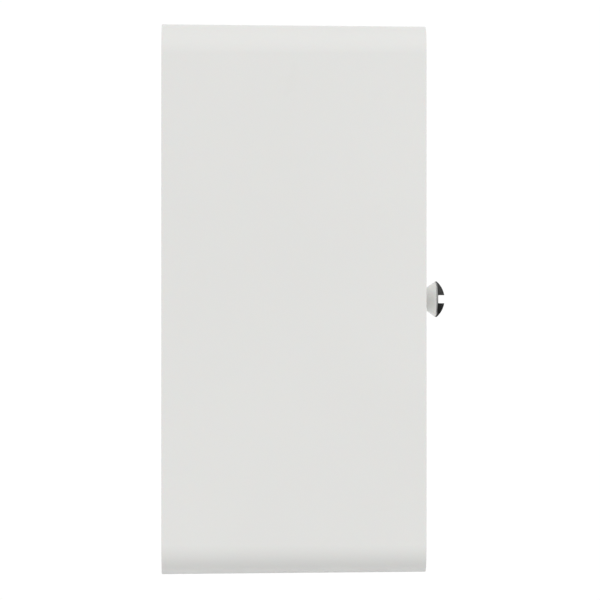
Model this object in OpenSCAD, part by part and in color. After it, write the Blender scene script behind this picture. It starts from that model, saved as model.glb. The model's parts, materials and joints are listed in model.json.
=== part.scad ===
// Wall battery unit.
// A drafted hood slips over a steel wall pan and is held by one slotted
// quarter-turn stud in the middle of its front.  Inside, eight prismatic
// cells stand in a steel cradle, with a battery management board above
// them and the fuse, breaker and output posts below.
// Frame: X to the right when facing the unit, the wall is the plane Y = 0,
// the front faces -Y, Z is up.  The origin is the centre of the wall face.

/* [Hood] */
// Width of the hood at the wall
hood_w = 260; // [258:1:270]
// Height of the hood at the wall
hood_h = 300; // [299:1:310]
// Depth from the wall to the front face
hood_d = 144; // [144:1:150]
// Corner radius at the wall, seen from the front
hood_r = 16.5; // [14:0.5:20]
// Moulding draft on all four sides, in degrees
draft = 0.5; // [0.3:0.1:0.6]
// Wall thickness of the hood
hood_t = 3; // [2.5:0.1:3]
// Number of ventilation slots in the top and in the bottom
vent_count = 15; // [5:2:15]
// Width of one ventilation slot
vent_w = 3; // [2:0.5:4]

/* [Quarter-turn stud] */
// Diameter of the stud's rim
rim_dia = 20.2; // [18:0.1:21]
// Diameter of the stud's shank
shank_dia = 9; // [8.5:0.1:9.1]
// Width of the coin slot across the head
slot_w = 4.6; // [3:0.1:5]
// Radius of the domed face of the head
dome_r = 13.6; // [12.4:0.1:16]
// Thickness of the flange round the stud's hole
collar_h = 1.3; // [1.2:0.1:2]

/* [Cells] */
// Thickness of one cell
cell_t = 26.7; // [26:0.1:26.9]
// Length of one cell, standing
cell_l = 148; // [146:1:148]
// Depth of one cell, from its back to its terminal face
cell_d = 94.3; // [92:0.1:94.3]
// Distance between the two terminals of a cell
terminal_gap = 110; // [106:1:112]

/* [Wall fixing] */
// Distance between the wall holes, side to side
wall_x = 220; // [218:1:222]
// Distance between the wall holes, top to bottom
wall_z = 260; // [256:1:262]
// Diameter of the wall holes
wall_hole = 7; // [5:0.5:8]
// Bore of the cable grommet in the wall pan
cable_bore = 18; // [12:1:20]

/* [Hidden] */
$fn = 64;

// Levels, as depth in front of the wall
pan_t = 2;
sheet_t = 1.5;                    // sheet of the cradle and the brackets
foot_d = pan_t + sheet_t;         // front of sheet lying on the pan
cell_back = 5;
cell_front = cell_back + cell_d;
term_top = cell_front + 2;
bar_back = cell_front + 4.7;
bar_front = bar_back + 2;
hood_in = hood_d - hood_t;
lock_d = hood_d - 10;             // front of the lock bracket
spring_d = lock_d - 8;            // middle of the lock's cross wire
tray_d = 59.5;                    // front of the power tray
seat_d = 72;                      // seats of the power studs
board_d = 88.6;                   // component side of the board
board_t = 1.6;

// Fastener radii: screws, studs, output posts
screw_r = 2;
screw_snug = 2.05;
screw_clear = 2.3;
stud_r = 3;
stud_snug = 3.05;
stud_clear = 3.2;
stud_nut = 10;                    // across flats
post_r = 4;
post_snug = 4.05;
post_clear = 4.2;
post_nut = 13;                    // across flats
lug_t = 2;

// Places on the wall pan
rivet_xs = [-75, 0, 75];
rivet_zs = [-45, 60];
board_foot_x = 102;
board_foot_z = 97;
tray_foot_xs = [-54, 102];
tray_foot_z = -92;
grommet_x = -78;
grommet_z = -105;
earth_x = -104;
earth_z = -84;

// ---------- helpers ----------
// Arguments x and z are places; d0 and d1 are back and front depths.
module at(x, depth, z) translate([x, -depth, z]) children();
module box(x0, x1, d0, d1, z0, z1)
  at(min(x0, x1), d1, min(z0, z1)) cube([abs(x1 - x0), d1 - d0, abs(z1 - z0)]);
// box centred on x, z
module block(x, z, w, h, d0, d1) box(x - w / 2, x + w / 2, d0, d1, z - h / 2, z + h / 2);
module cone(x, z, d0, d1, r_back, r_front)
  at(x, d0, z) rotate([90, 0, 0]) cylinder(h = d1 - d0, r1 = r_back, r2 = r_front);
module rod(x, z, d0, d1, r) at(x, d0, z) rotate([90, 0, 0]) cylinder(h = d1 - d0, r = r);
module hex_rod(x, z, d0, d1, flats)
  at(x, d0, z) rotate([90, 0, 0]) cylinder(h = d1 - d0, r = flats / sqrt(3), $fn = 6);
// rod lying along X
module across(x0, x1, depth, z, r)
  at(min(x0, x1), depth, z) rotate([0, 90, 0]) cylinder(h = abs(x1 - x0), r = r);
// outline in X and Z, thickened from d0 to d1
module slab(d0, d1) at(0, d0, 0) rotate([90, 0, 0]) linear_extrude(d1 - d0) children();
module rounded_rect(w, h, r) {
  square([w - 2 * r, h], center = true);
  square([w, h - 2 * r], center = true);
  for (sx = [-1, 1], sz = [-1, 1]) translate([sx * (w / 2 - r), sz * (h / 2 - r)]) circle(r = r);
}
module round_block(x, z, w, h, r, d0, d1) slab(d0, d1) translate([x, z]) rounded_rect(w, h, r);
// round-ended outline, long along the second axis
module long_slot(w, l) {
  square([w, l - w], center = true);
  for (end = [-1, 1]) translate([0, end * (l / 2 - w / 2)]) circle(d = w);
}
// round-ended block, long along X
module level_slot(x, z, w, l, d0, d1) slab(d0, d1) translate([x, z]) rotate(90) long_slot(w, l);
// round-cornered block whose four sides lean in by the draft
module drafted(w, h, r, d0, d1) {
  lean = tan(draft);
  half_w = w / 2;
  half_h = h / 2;
  at(0, 0, -(half_h - r)) linear_extrude(h - 2 * r)
    polygon([[-half_w + lean * d0, -d0], [half_w - lean * d0, -d0],
      [half_w - lean * d1, -d1], [-half_w + lean * d1, -d1]]);
  rotate([90, 0, 90]) translate([0, 0, -(half_w - r)]) linear_extrude(w - 2 * r)
    polygon([[-d0, -half_h + lean * d0], [-d0, half_h - lean * d0],
      [-d1, half_h - lean * d1], [-d1, -half_h + lean * d1]]);
  for (sx = [-1, 1], sz = [-1, 1])
    at(sx * (half_w - r), d0, sz * (half_h - r)) rotate([90, 0, 0])
      rotate([0, 0, atan2(-sz, -sx)]) cylinder(h = d1 - d0, r1 = r - lean * d0, r2 = r - lean * d1);
}
module flange_nut(x, z, d0, r, flats) difference() {
  union() {
    rod(x, z, d0, d0 + 1, flats * 0.7);
    hex_rod(x, z, d0, d0 + 5, flats);
  }
  rod(x, z, d0 - 1, d0 + 6, r + 0.06);
}
// cross-slotted screw; seat is the depth under its head, tip the depth of its end
module pan_screw(x, z, seat, tip, r = screw_r, head_r = 3.7, head_h = 2.2) difference() {
  union() {
    rod(x, z, tip, seat, r);
    cone(x, z, seat, seat + head_h, head_r, head_r * 0.72);
  }
  for (turn = [0, 90]) at(x, seat + head_h, z) rotate([0, turn, 0])
    cube([head_r * 1.1, 1.6, head_r * 0.22], center = true);
}

// ---------- wall pan ----------
rim_d = 12;                       // depth of the pan's rim
rim_inset = 5.5;                  // from the hood's outline to the inside of the rim
// the hood's wall outline, moved inwards
module inset_outline(inset) rounded_rect(hood_w - 2 * inset, hood_h - 2 * inset, hood_r - inset);
module pan_hole(x, z, r) rod(x, z, -1, pan_t + 1, r);
module back_plate() color("lightgrey") difference() {
  union() {
    slab(0, pan_t) inset_outline(3.5);
    difference() {
      slab(0, rim_d) inset_outline(3.5);
      slab(-1, rim_d + 1) inset_outline(rim_inset);
    }
  }
  for (sx = [-1, 1], sz = [-1, 1]) pan_hole(sx * wall_x / 2, sz * wall_z / 2, wall_hole / 2);
  pan_hole(grommet_x, grommet_z, 14);
  for (x = rivet_xs, z = rivet_zs) pan_hole(x, z, screw_snug);
  for (side = [-1, 1]) pan_hole(side * board_foot_x, board_foot_z, screw_snug);
  for (x = tray_foot_xs) pan_hole(x, tray_foot_z, screw_snug);
  pan_hole(earth_x, earth_z, stud_snug);
}
module plate_seal() color("dimgray") difference() {
  slab(rim_d, rim_d + 3) inset_outline(3.6);
  slab(rim_d - 1, rim_d + 4) inset_outline(rim_inset);
}
module cable_grommet() color("black") difference() {
  union() {
    rod(grommet_x, grommet_z, 0, pan_t, 13.9);
    cone(grommet_x, grommet_z, pan_t, 6, 18, 14);
  }
  rod(grommet_x, grommet_z, -1, 7, cable_bore / 2);
}

// ---------- cell cradle ----------
cell_z = 8.2;                     // height of the cells' middle
cell_pitch = 27.2;
rows_z = [cell_z - terminal_gap / 2, cell_z + terminal_gap / 2];  // lower and upper terminals
cradle_x = 112.4;                 // outer face of a cheek
cheek_mid = 111.6;                // about which the cheeks are cut
cradle_bottom = cell_z - 75.7;
cradle_top = cell_z + 74.8;
ear_z = 20;                       // half height of an ear
bar_screw_x = 118;
bar_screw_zs = [-8, 8];

// cells count from 0 at the left; i + 0.5 is the gap after cell i
function cell_x(i) = (i - 3.5) * cell_pitch;

module battery_cradle() color("silver") difference() {
  union() {
    box(-cradle_x, cradle_x, pan_t, foot_d, cradle_bottom, cradle_top);
    for (side = [-1, 1]) {
      box(side * (cradle_x - sheet_t), side * cradle_x, pan_t, bar_back, cradle_bottom, cradle_top);
      box(side * 111, side * 124, bar_back - sheet_t, bar_back, -ear_z, ear_z);
    }
    // shelf and its front lip
    box(-cradle_x, cradle_x, pan_t, cell_front + 1.7, cradle_bottom, cradle_bottom + sheet_t);
    box(-cradle_x, cradle_x, cell_front + 0.2, cell_front + 1.7, cradle_bottom, cell_z - 69);
  }
  for (x = rivet_xs, z = rivet_zs) rod(x, z, 1, 4, screw_snug);
  for (side = [-1, 1], z = bar_screw_zs)
    rod(side * bar_screw_x, z, bar_back - 3, bar_back + 1, screw_snug);
  // front corners of the cheeks are cut back above and below the ears
  for (side = [-1, 1], ends = [[ear_z, 90], [-60, -ear_z]])
    box(side * cheek_mid - 3, side * cheek_mid + 3, bar_back - 24, bar_back + 1, ends[0], ends[1]);
  // lightening holes
  for (side = [-1, 1], z = [-35, 50]) at(side * cheek_mid - 3, 42, z)
    rotate([90, 0, 90]) linear_extrude(6) rotate(90) long_slot(24, 50);
}
module cradle_rivets() color("silver") for (x = rivet_xs, z = rivet_zs) {
  rod(x, z, 0.1, foot_d, screw_r);
  cone(x, z, foot_d, 4.6, 4, 3);
}

// ---------- cells and busbars ----------
busbar_h = 15;
module battery_cells() color("steelblue") for (i = [0 : 7])
  at(cell_x(i), cell_back + cell_d / 2, cell_z - cell_l / 2)
    linear_extrude(cell_l) rounded_rect(cell_t, cell_d, 2.2);
module cell_spacers() color("white") {
  for (i = [0 : 6]) block(cell_x(i + 0.5), cell_z, 0.4, 147, 5.2, cell_front - 1);
  for (side = [-1, 1]) block(side * 109.73, cell_z, 2, 147, 5.2, cell_front - 26);
}
module cell_terminals() color("gainsboro") for (i = [0 : 7], z = rows_z) {
  round_block(cell_x(i), z, 18, 15, 2, cell_front, term_top);
  rod(cell_x(i), z, term_top, term_top + 11, stud_r);
}
// strap between two terminals, with a half-round fold standing forward in its middle
module busbar(x, z) difference() {
  union() {
    difference() {
      round_block(x, z, cell_pitch + 15, busbar_h, 5, term_top, term_top + 2);
      block(x, z, 6, busbar_h + 1, term_top - 1, term_top + 3);
    }
    difference() {
      at(x, term_top, z - busbar_h / 2) cylinder(h = busbar_h, r = 4.5);
      at(x, term_top, z - busbar_h / 2 - 0.5) cylinder(h = busbar_h + 1, r = 2.5);
      block(x, z, 12, busbar_h + 1, term_top - 6, term_top);
    }
  }
  for (side = [-1, 1])
    rod(x + side * cell_pitch / 2, z, term_top - 1, term_top + 3, stud_clear);
}
module busbars() color("peru") {
  for (i = [0 : 2 : 6]) busbar(cell_x(i + 0.5), rows_z[1]);
  for (i = [1 : 2 : 5]) busbar(cell_x(i + 0.5), rows_z[0]);
}
module terminal_nuts() color("silver")
  for (i = [0 : 7], z = rows_z) flange_nut(cell_x(i), z, term_top + 2, stud_r, stud_nut);

// ---------- retaining bar and lock ----------
lock_screw_x = 27;
lock_in = 18;                     // inner half width of the lock bracket
lock_out = lock_in + sheet_t;
lock_z = 12;                      // half height of the lock bracket
wire_end = 23.4;                  // half length of the cross wire

module retaining_bar() color("silver") difference() {
  union() {
    round_block(0, 0, 248, 30, 3, bar_back, bar_front);
    for (side = [-1, 1]) block(0, side * 14, 210, 2, bar_back, bar_back + 8);
  }
  for (side = [-1, 1], z = bar_screw_zs)
    rod(side * bar_screw_x, z, bar_back - 1, bar_front + 1, screw_clear);
  for (side = [-1, 1]) rod(side * lock_screw_x, 0, bar_back - 1, bar_front + 1, screw_snug);
  for (side = [-1, 1], x = [52, 82]) level_slot(side * x, 0, 9, 22, bar_back - 1, bar_front + 1);
}
module bar_pad() color("dimgray") block(0, 0, 212, 24, cell_front + 0.05, bar_back - 1.6);
module bar_screws() color("silver") for (side = [-1, 1], z = bar_screw_zs)
  pan_screw(side * bar_screw_x, z, bar_front, bar_back - 6, head_h = 2.4);
module clinch_nuts() color("silver") for (side = [-1, 1], z = bar_screw_zs) difference() {
  rod(side * bar_screw_x, z, bar_back - 5, bar_back - sheet_t, 3.6);
  rod(side * bar_screw_x, z, bar_back - 7, bar_back, screw_snug);
}
module lock_bracket() color("silver") difference() {
  union() {
    for (side = [-1, 1]) {
      box(side * lock_in, side * 34, bar_front, bar_front + sheet_t, -lock_z, lock_z);
      box(side * lock_in, side * lock_out, bar_front, lock_d, -lock_z, lock_z);
    }
    box(-lock_out, lock_out, lock_d - sheet_t, lock_d, -lock_z, lock_z);
  }
  for (side = [-1, 1]) rod(side * lock_screw_x, 0, bar_back, bar_back + 5, screw_clear);
  rod(0, 0, lock_d - 3, lock_d + 1, 5.6);
  across(-25, 25, spring_d, 0, 1.05);
}
module bracket_screws() color("silver")
  for (side = [-1, 1]) pan_screw(side * lock_screw_x, 0, bar_front + sheet_t, bar_back - 1.4);
// cross wire with a thicker end outside each leg of the bracket
module lock_spring() color("silver") {
  across(-wire_end, wire_end, spring_d, 0, 1);
  for (side = [-1, 1]) across(side * 20.6, side * wire_end, spring_d, 0, 1.7);
}

// ---------- battery management board ----------
board_z = 114;                    // height of the board's middle
board_hole_xs = [-84, 84];
board_hole_zs = [board_z - 20, board_z + 20];
bracket_d = 79.5;                 // front of the board bracket
bracket_x = 96;                   // its outer half width
bracket_zs = [87, 141];           // its bottom and top
sink_d = 93.1;                    // back of the heat sink
sink_left = -70;
led_xs = [-12, -4, 4, 12];
switch_x = 20.5;
switch_z = 100;
board_post_x = -80;
board_post_zs = [board_z - 9, board_z + 9];
board_seat = board_d + 4;         // seat of the lugs on the board
// x, width, bottom z of each socket
sockets = [[66, 20, 100], [30, 22, 129]];

module board_bracket() color("silver") difference() {
  leg_in = bracket_x - sheet_t;
  union() {
    box(-bracket_x, bracket_x, bracket_d - sheet_t, bracket_d, bracket_zs[0], bracket_zs[1]);
    for (side = [-1, 1]) {
      box(side * leg_in, side * bracket_x, pan_t, bracket_d, bracket_zs[0], bracket_zs[1]);
      box(side * leg_in, side * 108, pan_t, foot_d, bracket_zs[0], 108);
    }
  }
  for (side = [-1, 1]) rod(side * board_foot_x, board_foot_z, 1, 5, screw_clear);
  for (x = board_hole_xs, z = board_hole_zs) rod(x, z, 77, 81, 1.55);
  for (x = [-50, 0, 50]) level_slot(x, board_z, 16, 34, 77, 81);
}
// screws in the feet of the board bracket and of the power tray
module bracket_feet_screws() color("silver") {
  for (side = [-1, 1]) pan_screw(side * board_foot_x, board_foot_z, foot_d, 0.2);
  for (x = tray_foot_xs) pan_screw(x, tray_foot_z, foot_d, 0.2);
}
module board_standoffs() color("goldenrod")
  for (x = board_hole_xs, z = board_hole_zs) difference() {
    union() {
      hex_rod(x, z, bracket_d, board_d - board_t, 5.5);
      rod(x, z, 76.4, bracket_d, 1.5);
    }
    rod(x, z, 82, board_d, 1.52);
  }
module circuit_board() color("darkgreen") difference() {
  round_block(0, board_z, 180, 50, 3, board_d - board_t, board_d);
  for (x = board_hole_xs, z = board_hole_zs) rod(x, z, board_d - 3, board_d + 1, 1.6);
}
module board_screws() color("silver") for (x = board_hole_xs, z = board_hole_zs)
  pan_screw(x, z, board_d, board_d - 6, r = 1.45, head_r = 2.8, head_h = 1.8);
module heat_sink() color("silver") {
  box(sink_left, -20, sink_d, 96, 93, 135);
  for (i = [0 : 10]) let (x = sink_left + i * 4.87) box(x, x + 1.3, 96, 112, 93, 135);
}
module power_transistors() color("black") for (i = [0 : 3], z = [103, 125])
  round_block(-63.5 + i * 12.3, z, 10, 9, 0.5, board_d, sink_d);
module capacitors() color("black")
  for (x = [40, 55], z = [103, 121]) rod(x, z, board_d, board_d + 20, 6);
module board_sockets() color("white") for (socket = sockets)
  let (x = socket[0], end = x + socket[1], z = socket[2]) difference() {
    box(x, end, board_d, board_d + 7.5, z, z + 6);
    box(x + 1, end - 1, board_d + 1.5, board_d + 9, z + 1, z + 5);
  }
module status_leds() color("lime") for (x = led_xs) {
  dome_d = board_d + 2.6;
  rod(x, board_z, board_d, dome_d, 1.5);
  intersection() {
    at(x, dome_d, board_z) sphere(r = 1.5);
    rod(x, board_z, dome_d, board_d + 5, 2);
  }
}
module switch_base() color("dimgray") difference() {
  block(switch_x, switch_z, 8, 8, board_d, board_d + 4);
  rod(switch_x, switch_z, board_d + 0.8, board_d + 5, 2.2);
}
module switch_button() color("crimson") {
  rod(switch_x, switch_z, board_d + 1.6, board_d + 6, 2.1);
  rod(switch_x, switch_z, board_d + 5, board_d + 8, 3.2);
}
module board_lugs_posts() color("gold") for (z = board_post_zs) {
  round_block(board_post_x, z, 11, 11, 1, board_d, board_seat);
  rod(board_post_x, z, board_seat, board_d + 13, stud_r);
}

// ---------- fuse, breaker and output posts ----------
power_z = -107;                   // height of the row of power studs
tray_left = -48;
tray_right = 96;
tray_zs = [-138, -76];            // bottom and top of the tray
fuse_x = 64;
fuse_stud_xs = [fuse_x - 20, fuse_x + 20];
hinge_d = 68.5;                   // axis of the fuse cover's hinge
hinge_z = -88;
breaker_x = 4;
breaker_stud_xs = [breaker_x - 21, breaker_x + 21];
toggle_d = 90;                    // axis of the toggle
post_x = -34.5;
post_zs = [power_z + 17, power_z - 17];

module stud_bore(x) rod(x, power_z, seat_d - 6, seat_d + 1, stud_snug);
module power_stud(x) rod(x, power_z, seat_d - 5.9, seat_d + 13, stud_r);

module power_tray() color("silver") difference() {
  left_in = tray_left + sheet_t;
  right_in = tray_right - sheet_t;
  union() {
    box(tray_left, tray_right, tray_d - sheet_t, tray_d, tray_zs[0], tray_zs[1]);
    box(right_in, tray_right, pan_t, tray_d, tray_zs[0], tray_zs[1]);
    box(tray_left, left_in, pan_t, tray_d, tray_zs[0], tray_zs[1]);
    box(right_in, 108, pan_t, foot_d, -104, -80);
    box(-60, left_in, pan_t, foot_d, -104, -80);
  }
  for (x = tray_foot_xs) rod(x, tray_foot_z, 1, 5, screw_clear);
  for (x = [-10, 62]) level_slot(x, -80.2, 4, 30, tray_d - 3, tray_d + 1);
}
module fuse_base() color("dimgray") difference() {
  union() {
    round_block(fuse_x, power_z, 60, 28, 3, tray_d, seat_d);
    for (x = [37, 87]) {
      box(x, x + 4, tray_d, seat_d, -93.5, hinge_z);
      across(x, x + 4, hinge_d, hinge_z, 3.5);
    }
  }
  for (x = fuse_stud_xs) stud_bore(x);
  across(30, 100, hinge_d, hinge_z, 1.6);
}
module fuse_studs() color("silver") for (x = fuse_stud_xs) power_stud(x);
module fuse_link() color("orange") {
  difference() {
    round_block(fuse_x, power_z, 54, 12, 5, seat_d + 2, seat_d + 3.5);
    for (x = fuse_stud_xs) rod(x, power_z, seat_d, seat_d + 5, stud_clear);
    block(fuse_x, power_z, 20, 14, seat_d, seat_d + 5);
  }
  round_block(fuse_x, power_z, 20.4, 16, 2, seat_d + 1, seat_d + 9);
}
// clear cover: a cap hinged along its upper edge on the base's two ears
module fuse_cover() color("lightgrey") {
  difference() {
    round_block(fuse_x, power_z, 60, 28, 3, seat_d + 0.3, 92);
    round_block(fuse_x, power_z, 56.8, 24.8, 1.5, seat_d - 1, 90.4);
    for (side = [-1, 1]) block(fuse_x + side * 30, power_z, 8, 18, seat_d - 1, seat_d + 12);
  }
  for (x = [41.5, 80.5]) {
    box(x, x + 5, 72.3, 76, -93.1, hinge_z);
    box(x, x + 5, 70, 72.4, -92.7, hinge_z);
    difference() {
      across(x, x + 5, hinge_d, hinge_z, 3.3);
      box(x - 1, x + 6, 64, hinge_d, -93, -84);
    }
  }
  across(37.2, 90.8, hinge_d, hinge_z, 1.5);
}
module breaker_body() color("dimgray") difference() {
  pocket_r = 8.4;
  union() {
    round_block(breaker_x, power_z, 26, 46, 2.5, tray_d, 95);
    round_block(breaker_x, power_z, 56, 40, 3, tray_d, seat_d);
  }
  for (x = breaker_stud_xs) stud_bore(x);
  across(breaker_x - 7, breaker_x + 7, toggle_d, power_z, pocket_r);
  block(breaker_x, power_z, 14, 2 * pocket_r, toggle_d, 96);
  across(breaker_x - 10, breaker_x + 10, toggle_d, power_z, 2.08);
}
module breaker_studs() color("silver") for (x = breaker_stud_xs) power_stud(x);
module breaker_toggle() color("gold") {
  across(breaker_x - 6.7, breaker_x + 6.7, toggle_d, power_z, 8);
  across(breaker_x - 9.7, breaker_x + 9.7, toggle_d, power_z, 2);
  at(breaker_x, toggle_d, power_z) rotate([-35, 0, 0]) {
    box(-6.2, 6.2, 3, 17, -3, 3);
    across(-6.2, 6.2, 17, 0, 3);
  }
}
module post_base() color("dimgray") difference() {
  round_block(post_x, power_z, 20, 58, 2.5, tray_d, seat_d);
  for (z = post_zs) rod(post_x, z, seat_d - 8, seat_d + 1, post_snug);
}
module output_posts() color("gold") for (z = post_zs) {
  rod(post_x, z, seat_d - 7.9, seat_d + 7, post_r);
  rod(post_x, z, seat_d + 7, seat_d + 8, 3.3);
  rod(post_x, z, seat_d + 8, seat_d + 22, 3.95);
}
// round-ended strip on the stud seats, between two [x, z] points
module link(start, end, start_r, end_r) difference() {
  width = 12;
  run = end - start;
  slab(seat_d, seat_d + lug_t) translate(start) rotate(atan2(run[1], run[0])) {
    translate([0, -width / 2]) square([norm(run), width]);
    circle(d = width);
    translate([norm(run), 0]) circle(d = width);
  }
  rod(start[0], start[1], seat_d - 1, seat_d + lug_t + 1, start_r);
  rod(end[0], end[1], seat_d - 1, seat_d + lug_t + 1, end_r);
}
module copper_links() color("peru") {
  link([breaker_stud_xs[1], power_z], [fuse_stud_xs[0], power_z], stud_clear, stud_clear);
  link([post_x, post_zs[1]], [breaker_stud_xs[0], power_z], post_clear, stud_clear);
}
module power_nuts() color("silver") {
  for (x = breaker_stud_xs) flange_nut(x, power_z, seat_d + 2, stud_r, stud_nut);
  for (x = fuse_stud_xs) flange_nut(x, power_z, seat_d + 3.5, stud_r, stud_nut);
  for (z = post_zs) flange_nut(post_x, z, seat_d + lug_t, post_r, post_nut);
  for (z = board_post_zs) flange_nut(board_post_x, z, board_seat + lug_t, stud_r, stud_nut);
}

// ---------- wiring ----------
// Paths are lists of [x, depth, z] points.
lead_d = term_top + 4.2;          // cables leaving the cell terminals
negative_r = 3.6;

module cable(path, r, facets = 12) for (i = [0 : len(path) - 2]) hull() {
  for (p = [path[i], path[i + 1]]) at(p[0], p[1], p[2]) sphere(r = r, $fn = facets);
}
// n + 1 points along a smooth curve through four control points
function curve(a, b, c, d, n) = [for (i = [0 : n]) let (t = i / n, u = 1 - t)
  u * u * u * a + 3 * u * u * t * b + 3 * u * t * t * c + t * t * t * d];
module ring_lug(x, z, d0, turn, bore = stud_clear)
  at(x, d0, z) rotate([90, 0, 0]) rotate([0, 0, turn]) difference() {
    union() {
      cylinder(h = lug_t, r = 6.6);
      translate([0, -5, 0]) cube([13, 10, lug_t]);
    }
    translate([0, 0, -1]) cylinder(h = lug_t + 2, r = bore);
  }
// from the last cell's lower terminal to the fuse
module positive_cable() color("red") {
  x = cell_x(7);
  z = rows_z[0];
  ring_lug(x, z, term_top, -90);
  cable(concat([[x, lead_d, z - 12.5]],
    curve([x, lead_d, z - 16], [96, 108, -84], [117, 112, -96], [117, 92, -104], 7),
    curve([117, 92, -104], [117, 80, -107.5], [110, 77, -107], [99, 76.6, -107], 4),
    [[96.5, 76.6, -107]]), 4);
  ring_lug(fuse_stud_xs[1], power_z, seat_d, 0);
}
// from the first cell's lower terminal to the board's lower post
module cell_negative_cable() color("black") {
  z = rows_z[0];
  ring_lug(cell_x(0), z, term_top, 180);
  cable(concat([[-107.6, lead_d, z]],
    curve([-110, lead_d, z], [-120, 106, z], [-120, 100, -40], [-120, 88, -28], 5),
    curve([-120, 88, -28], [-120, 78, 0], [-120, 78, 50], [-119, 84, 80], 5),
    curve([-119, 84, 80], [-119, 96, 100], [-112, 97, 105], [-99, 97, 105], 5),
    [[-92.2, 97, 105]]), negative_r);
  ring_lug(board_post_x, board_post_zs[0], board_seat, 180);
}
// from the board's upper post to the upper output post
module output_negative_cable() color("black") {
  ring_lug(board_post_x, board_post_zs[1], board_seat, 180);
  cable(concat([[-92.2, 97, 123]],
    curve([-99, 97, 123], [-112, 97, 123], [-120, 94, 116], [-120, 80, 100], 6),
    curve([-120, 80, 100], [-120, 62, 60], [-120, 62, 0], [-120, 68, -40], 5),
    curve([-120, 68, -40], [-121, 76, -90], [-108, 78, -91], [-56, 77.2, -90], 7),
    [[-46.9, 77.2, -90]]), negative_r);
  ring_lug(post_x, post_zs[0], seat_d, 180, post_clear);
}
// thin wires from the four upper busbars to the board, and a bundle from the three lower ones
module sense_wires() color("white") {
  wire_r = 0.8;
  for (i = [0 : 3]) {
    x = cell_x(2 * i + 0.5) + 6.4;
    z = rows_z[1];
    pin_x = 68.5 + i * 2.2;
    cable(concat([[x, term_top + 3.2, z + 3]],
      curve([x, term_top + 3.4, z + 6], [x, 104, 86], [pin_x - 0.5, 112, 88], [pin_x, 100, 103], 7),
      [[pin_x, 94, 103]]), wire_r, 6);
  }
  for (i = [0 : 2]) {
    x = cell_x(2 * i + 1.5);
    z = rows_z[0];
    lane_z = -27 - 1.8 * i;
    back = 2 * i;                 // step back of each wire up the side
    pin_x = 83.5 - 2.2 * i;
    cable(concat([[x + 6.4, term_top + 3.2, z + 3]],
      curve([x + 6.4, term_top + 3.6, z + 8], [x + 8, 104, lane_z],
        [x + 12, 103.2, lane_z], [x + 24, 103.2, lane_z], 4),
      curve([x + 24, 103.2, lane_z], [96, 106, lane_z], [118, 107, lane_z], [119, 92 - back, -20], 8),
      curve([119, 92 - back, -20], [119, 84 - back, 0], [119, 84 - back, 50],
        [119, 88 - back, 84], 4),
      curve([119, 88 - back, 84], [119, 104, 100], [84 - back, 108, 103], [pin_x, 98, 103], 6),
      [[pin_x, 94, 103]]), wire_r, 6);
  }
}
module earth_stud() color("gold") rod(earth_x, earth_z, 0.2, 20, stud_r);
module earth_nuts() color("silver")
  for (depth = [pan_t, 9]) flange_nut(earth_x, earth_z, depth, stud_r, stud_nut);

// ---------- hood ----------
window_w = 7;
window_l = 36;
vent_pitch = 12;
vent_l = 44;
vent_d = 98;                      // depth of the vents' middle
rib_back = 15.4;                  // just in front of the seal
rib_root = hood_t / 2 + 0.8;      // how far inside the outline a rib ends
bushing_r = 6.5;
bushing_hole = 6.55;

module hood() color("whitesmoke") difference() {
  union() {
    difference() {
      drafted(hood_w, hood_h, hood_r, 0, hood_d);
      drafted(hood_w - 2 * hood_t, hood_h - 2 * hood_t, hood_r - hood_t, -1, hood_in);
    }
    // ribs that stiffen the walls
    for (x = [-84, -28, 28, 84], side = [-1, 1])
      box(x - 1, x + 1, rib_back, 60, side * 142.5, side * (hood_h / 2 - rib_root));
    for (z = [-70, 0, 70], side = [-1, 1])
      box(side * 124.6, side * (hood_w / 2 - rib_root), rib_back, 50, z - 1, z + 1);
    // ring behind the stud hole
    rod(0, 0, hood_in - 0.5, hood_in + 1, 13);
  }
  rod(0, 0, hood_in - 2, hood_d + 1, bushing_hole);
  // window of the light guide
  level_slot(0, board_z, window_w, window_l, hood_in - 1, hood_d + 1);
  // ventilation slots, bottom and top
  for (z = [-hood_h / 2 - 1, hood_h / 2 - 12], i = [0 : vent_count - 1])
    at((i - (vent_count - 1) / 2) * vent_pitch, vent_d, z)
      linear_extrude(13) long_slot(vent_w, vent_l);
  // scored knock-outs for conduit in the underside, close to the wall
  for (x = [-78, -30]) at(x, 34, -hood_h / 2 - 1) difference() {
    cylinder(h = 2.4, r = 12.5);
    translate([0, 0, -1]) cylinder(h = 5, r = 11.5);
  }
}
module light_guide() color("lightcyan") {
  level_slot(0, board_z, window_w - 0.1, window_l - 0.1, hood_in - 0.1, hood_d);
  level_slot(0, board_z, 10, 40, hood_in - 2.1, hood_in - 0.1);
  for (x = led_xs) rod(x, board_z, 94.2, hood_in - 2, 2);
}
module stud_bushing() color("gainsboro") difference() {
  collar_d = hood_d + collar_h;
  union() {
    rod(0, 0, hood_in - 3.4, hood_d, bushing_r);
    rod(0, 0, hood_d, collar_d - 0.6, 8.6);
    cone(0, 0, collar_d - 0.6, collar_d, 8.6, 7.9);
  }
  rod(0, 0, hood_in - 5, collar_d + 1, shank_dia / 2 + 0.08);
}
module bushing_nut() color("silver") difference() {
  hex_rod(0, 0, hood_in - 3, hood_in - 0.5, 18);
  rod(0, 0, hood_in - 4, hood_in + 1, bushing_hole);
}

// ---------- quarter-turn stud ----------
rim_r = rim_dia / 2;
shank_r = shank_dia / 2;
rim_back = hood_d + 9.4;
rim_front = hood_d + 10.2;
cone_back = hood_d + 4.5;
neck_back = hood_d + collar_h + 0.1;
neck_r = rim_r - (rim_back - cone_back) * tan(35);
tip_d = lock_d - 14;
wire_gap = 1.3;                   // half width of the slots for the cross wire

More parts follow.
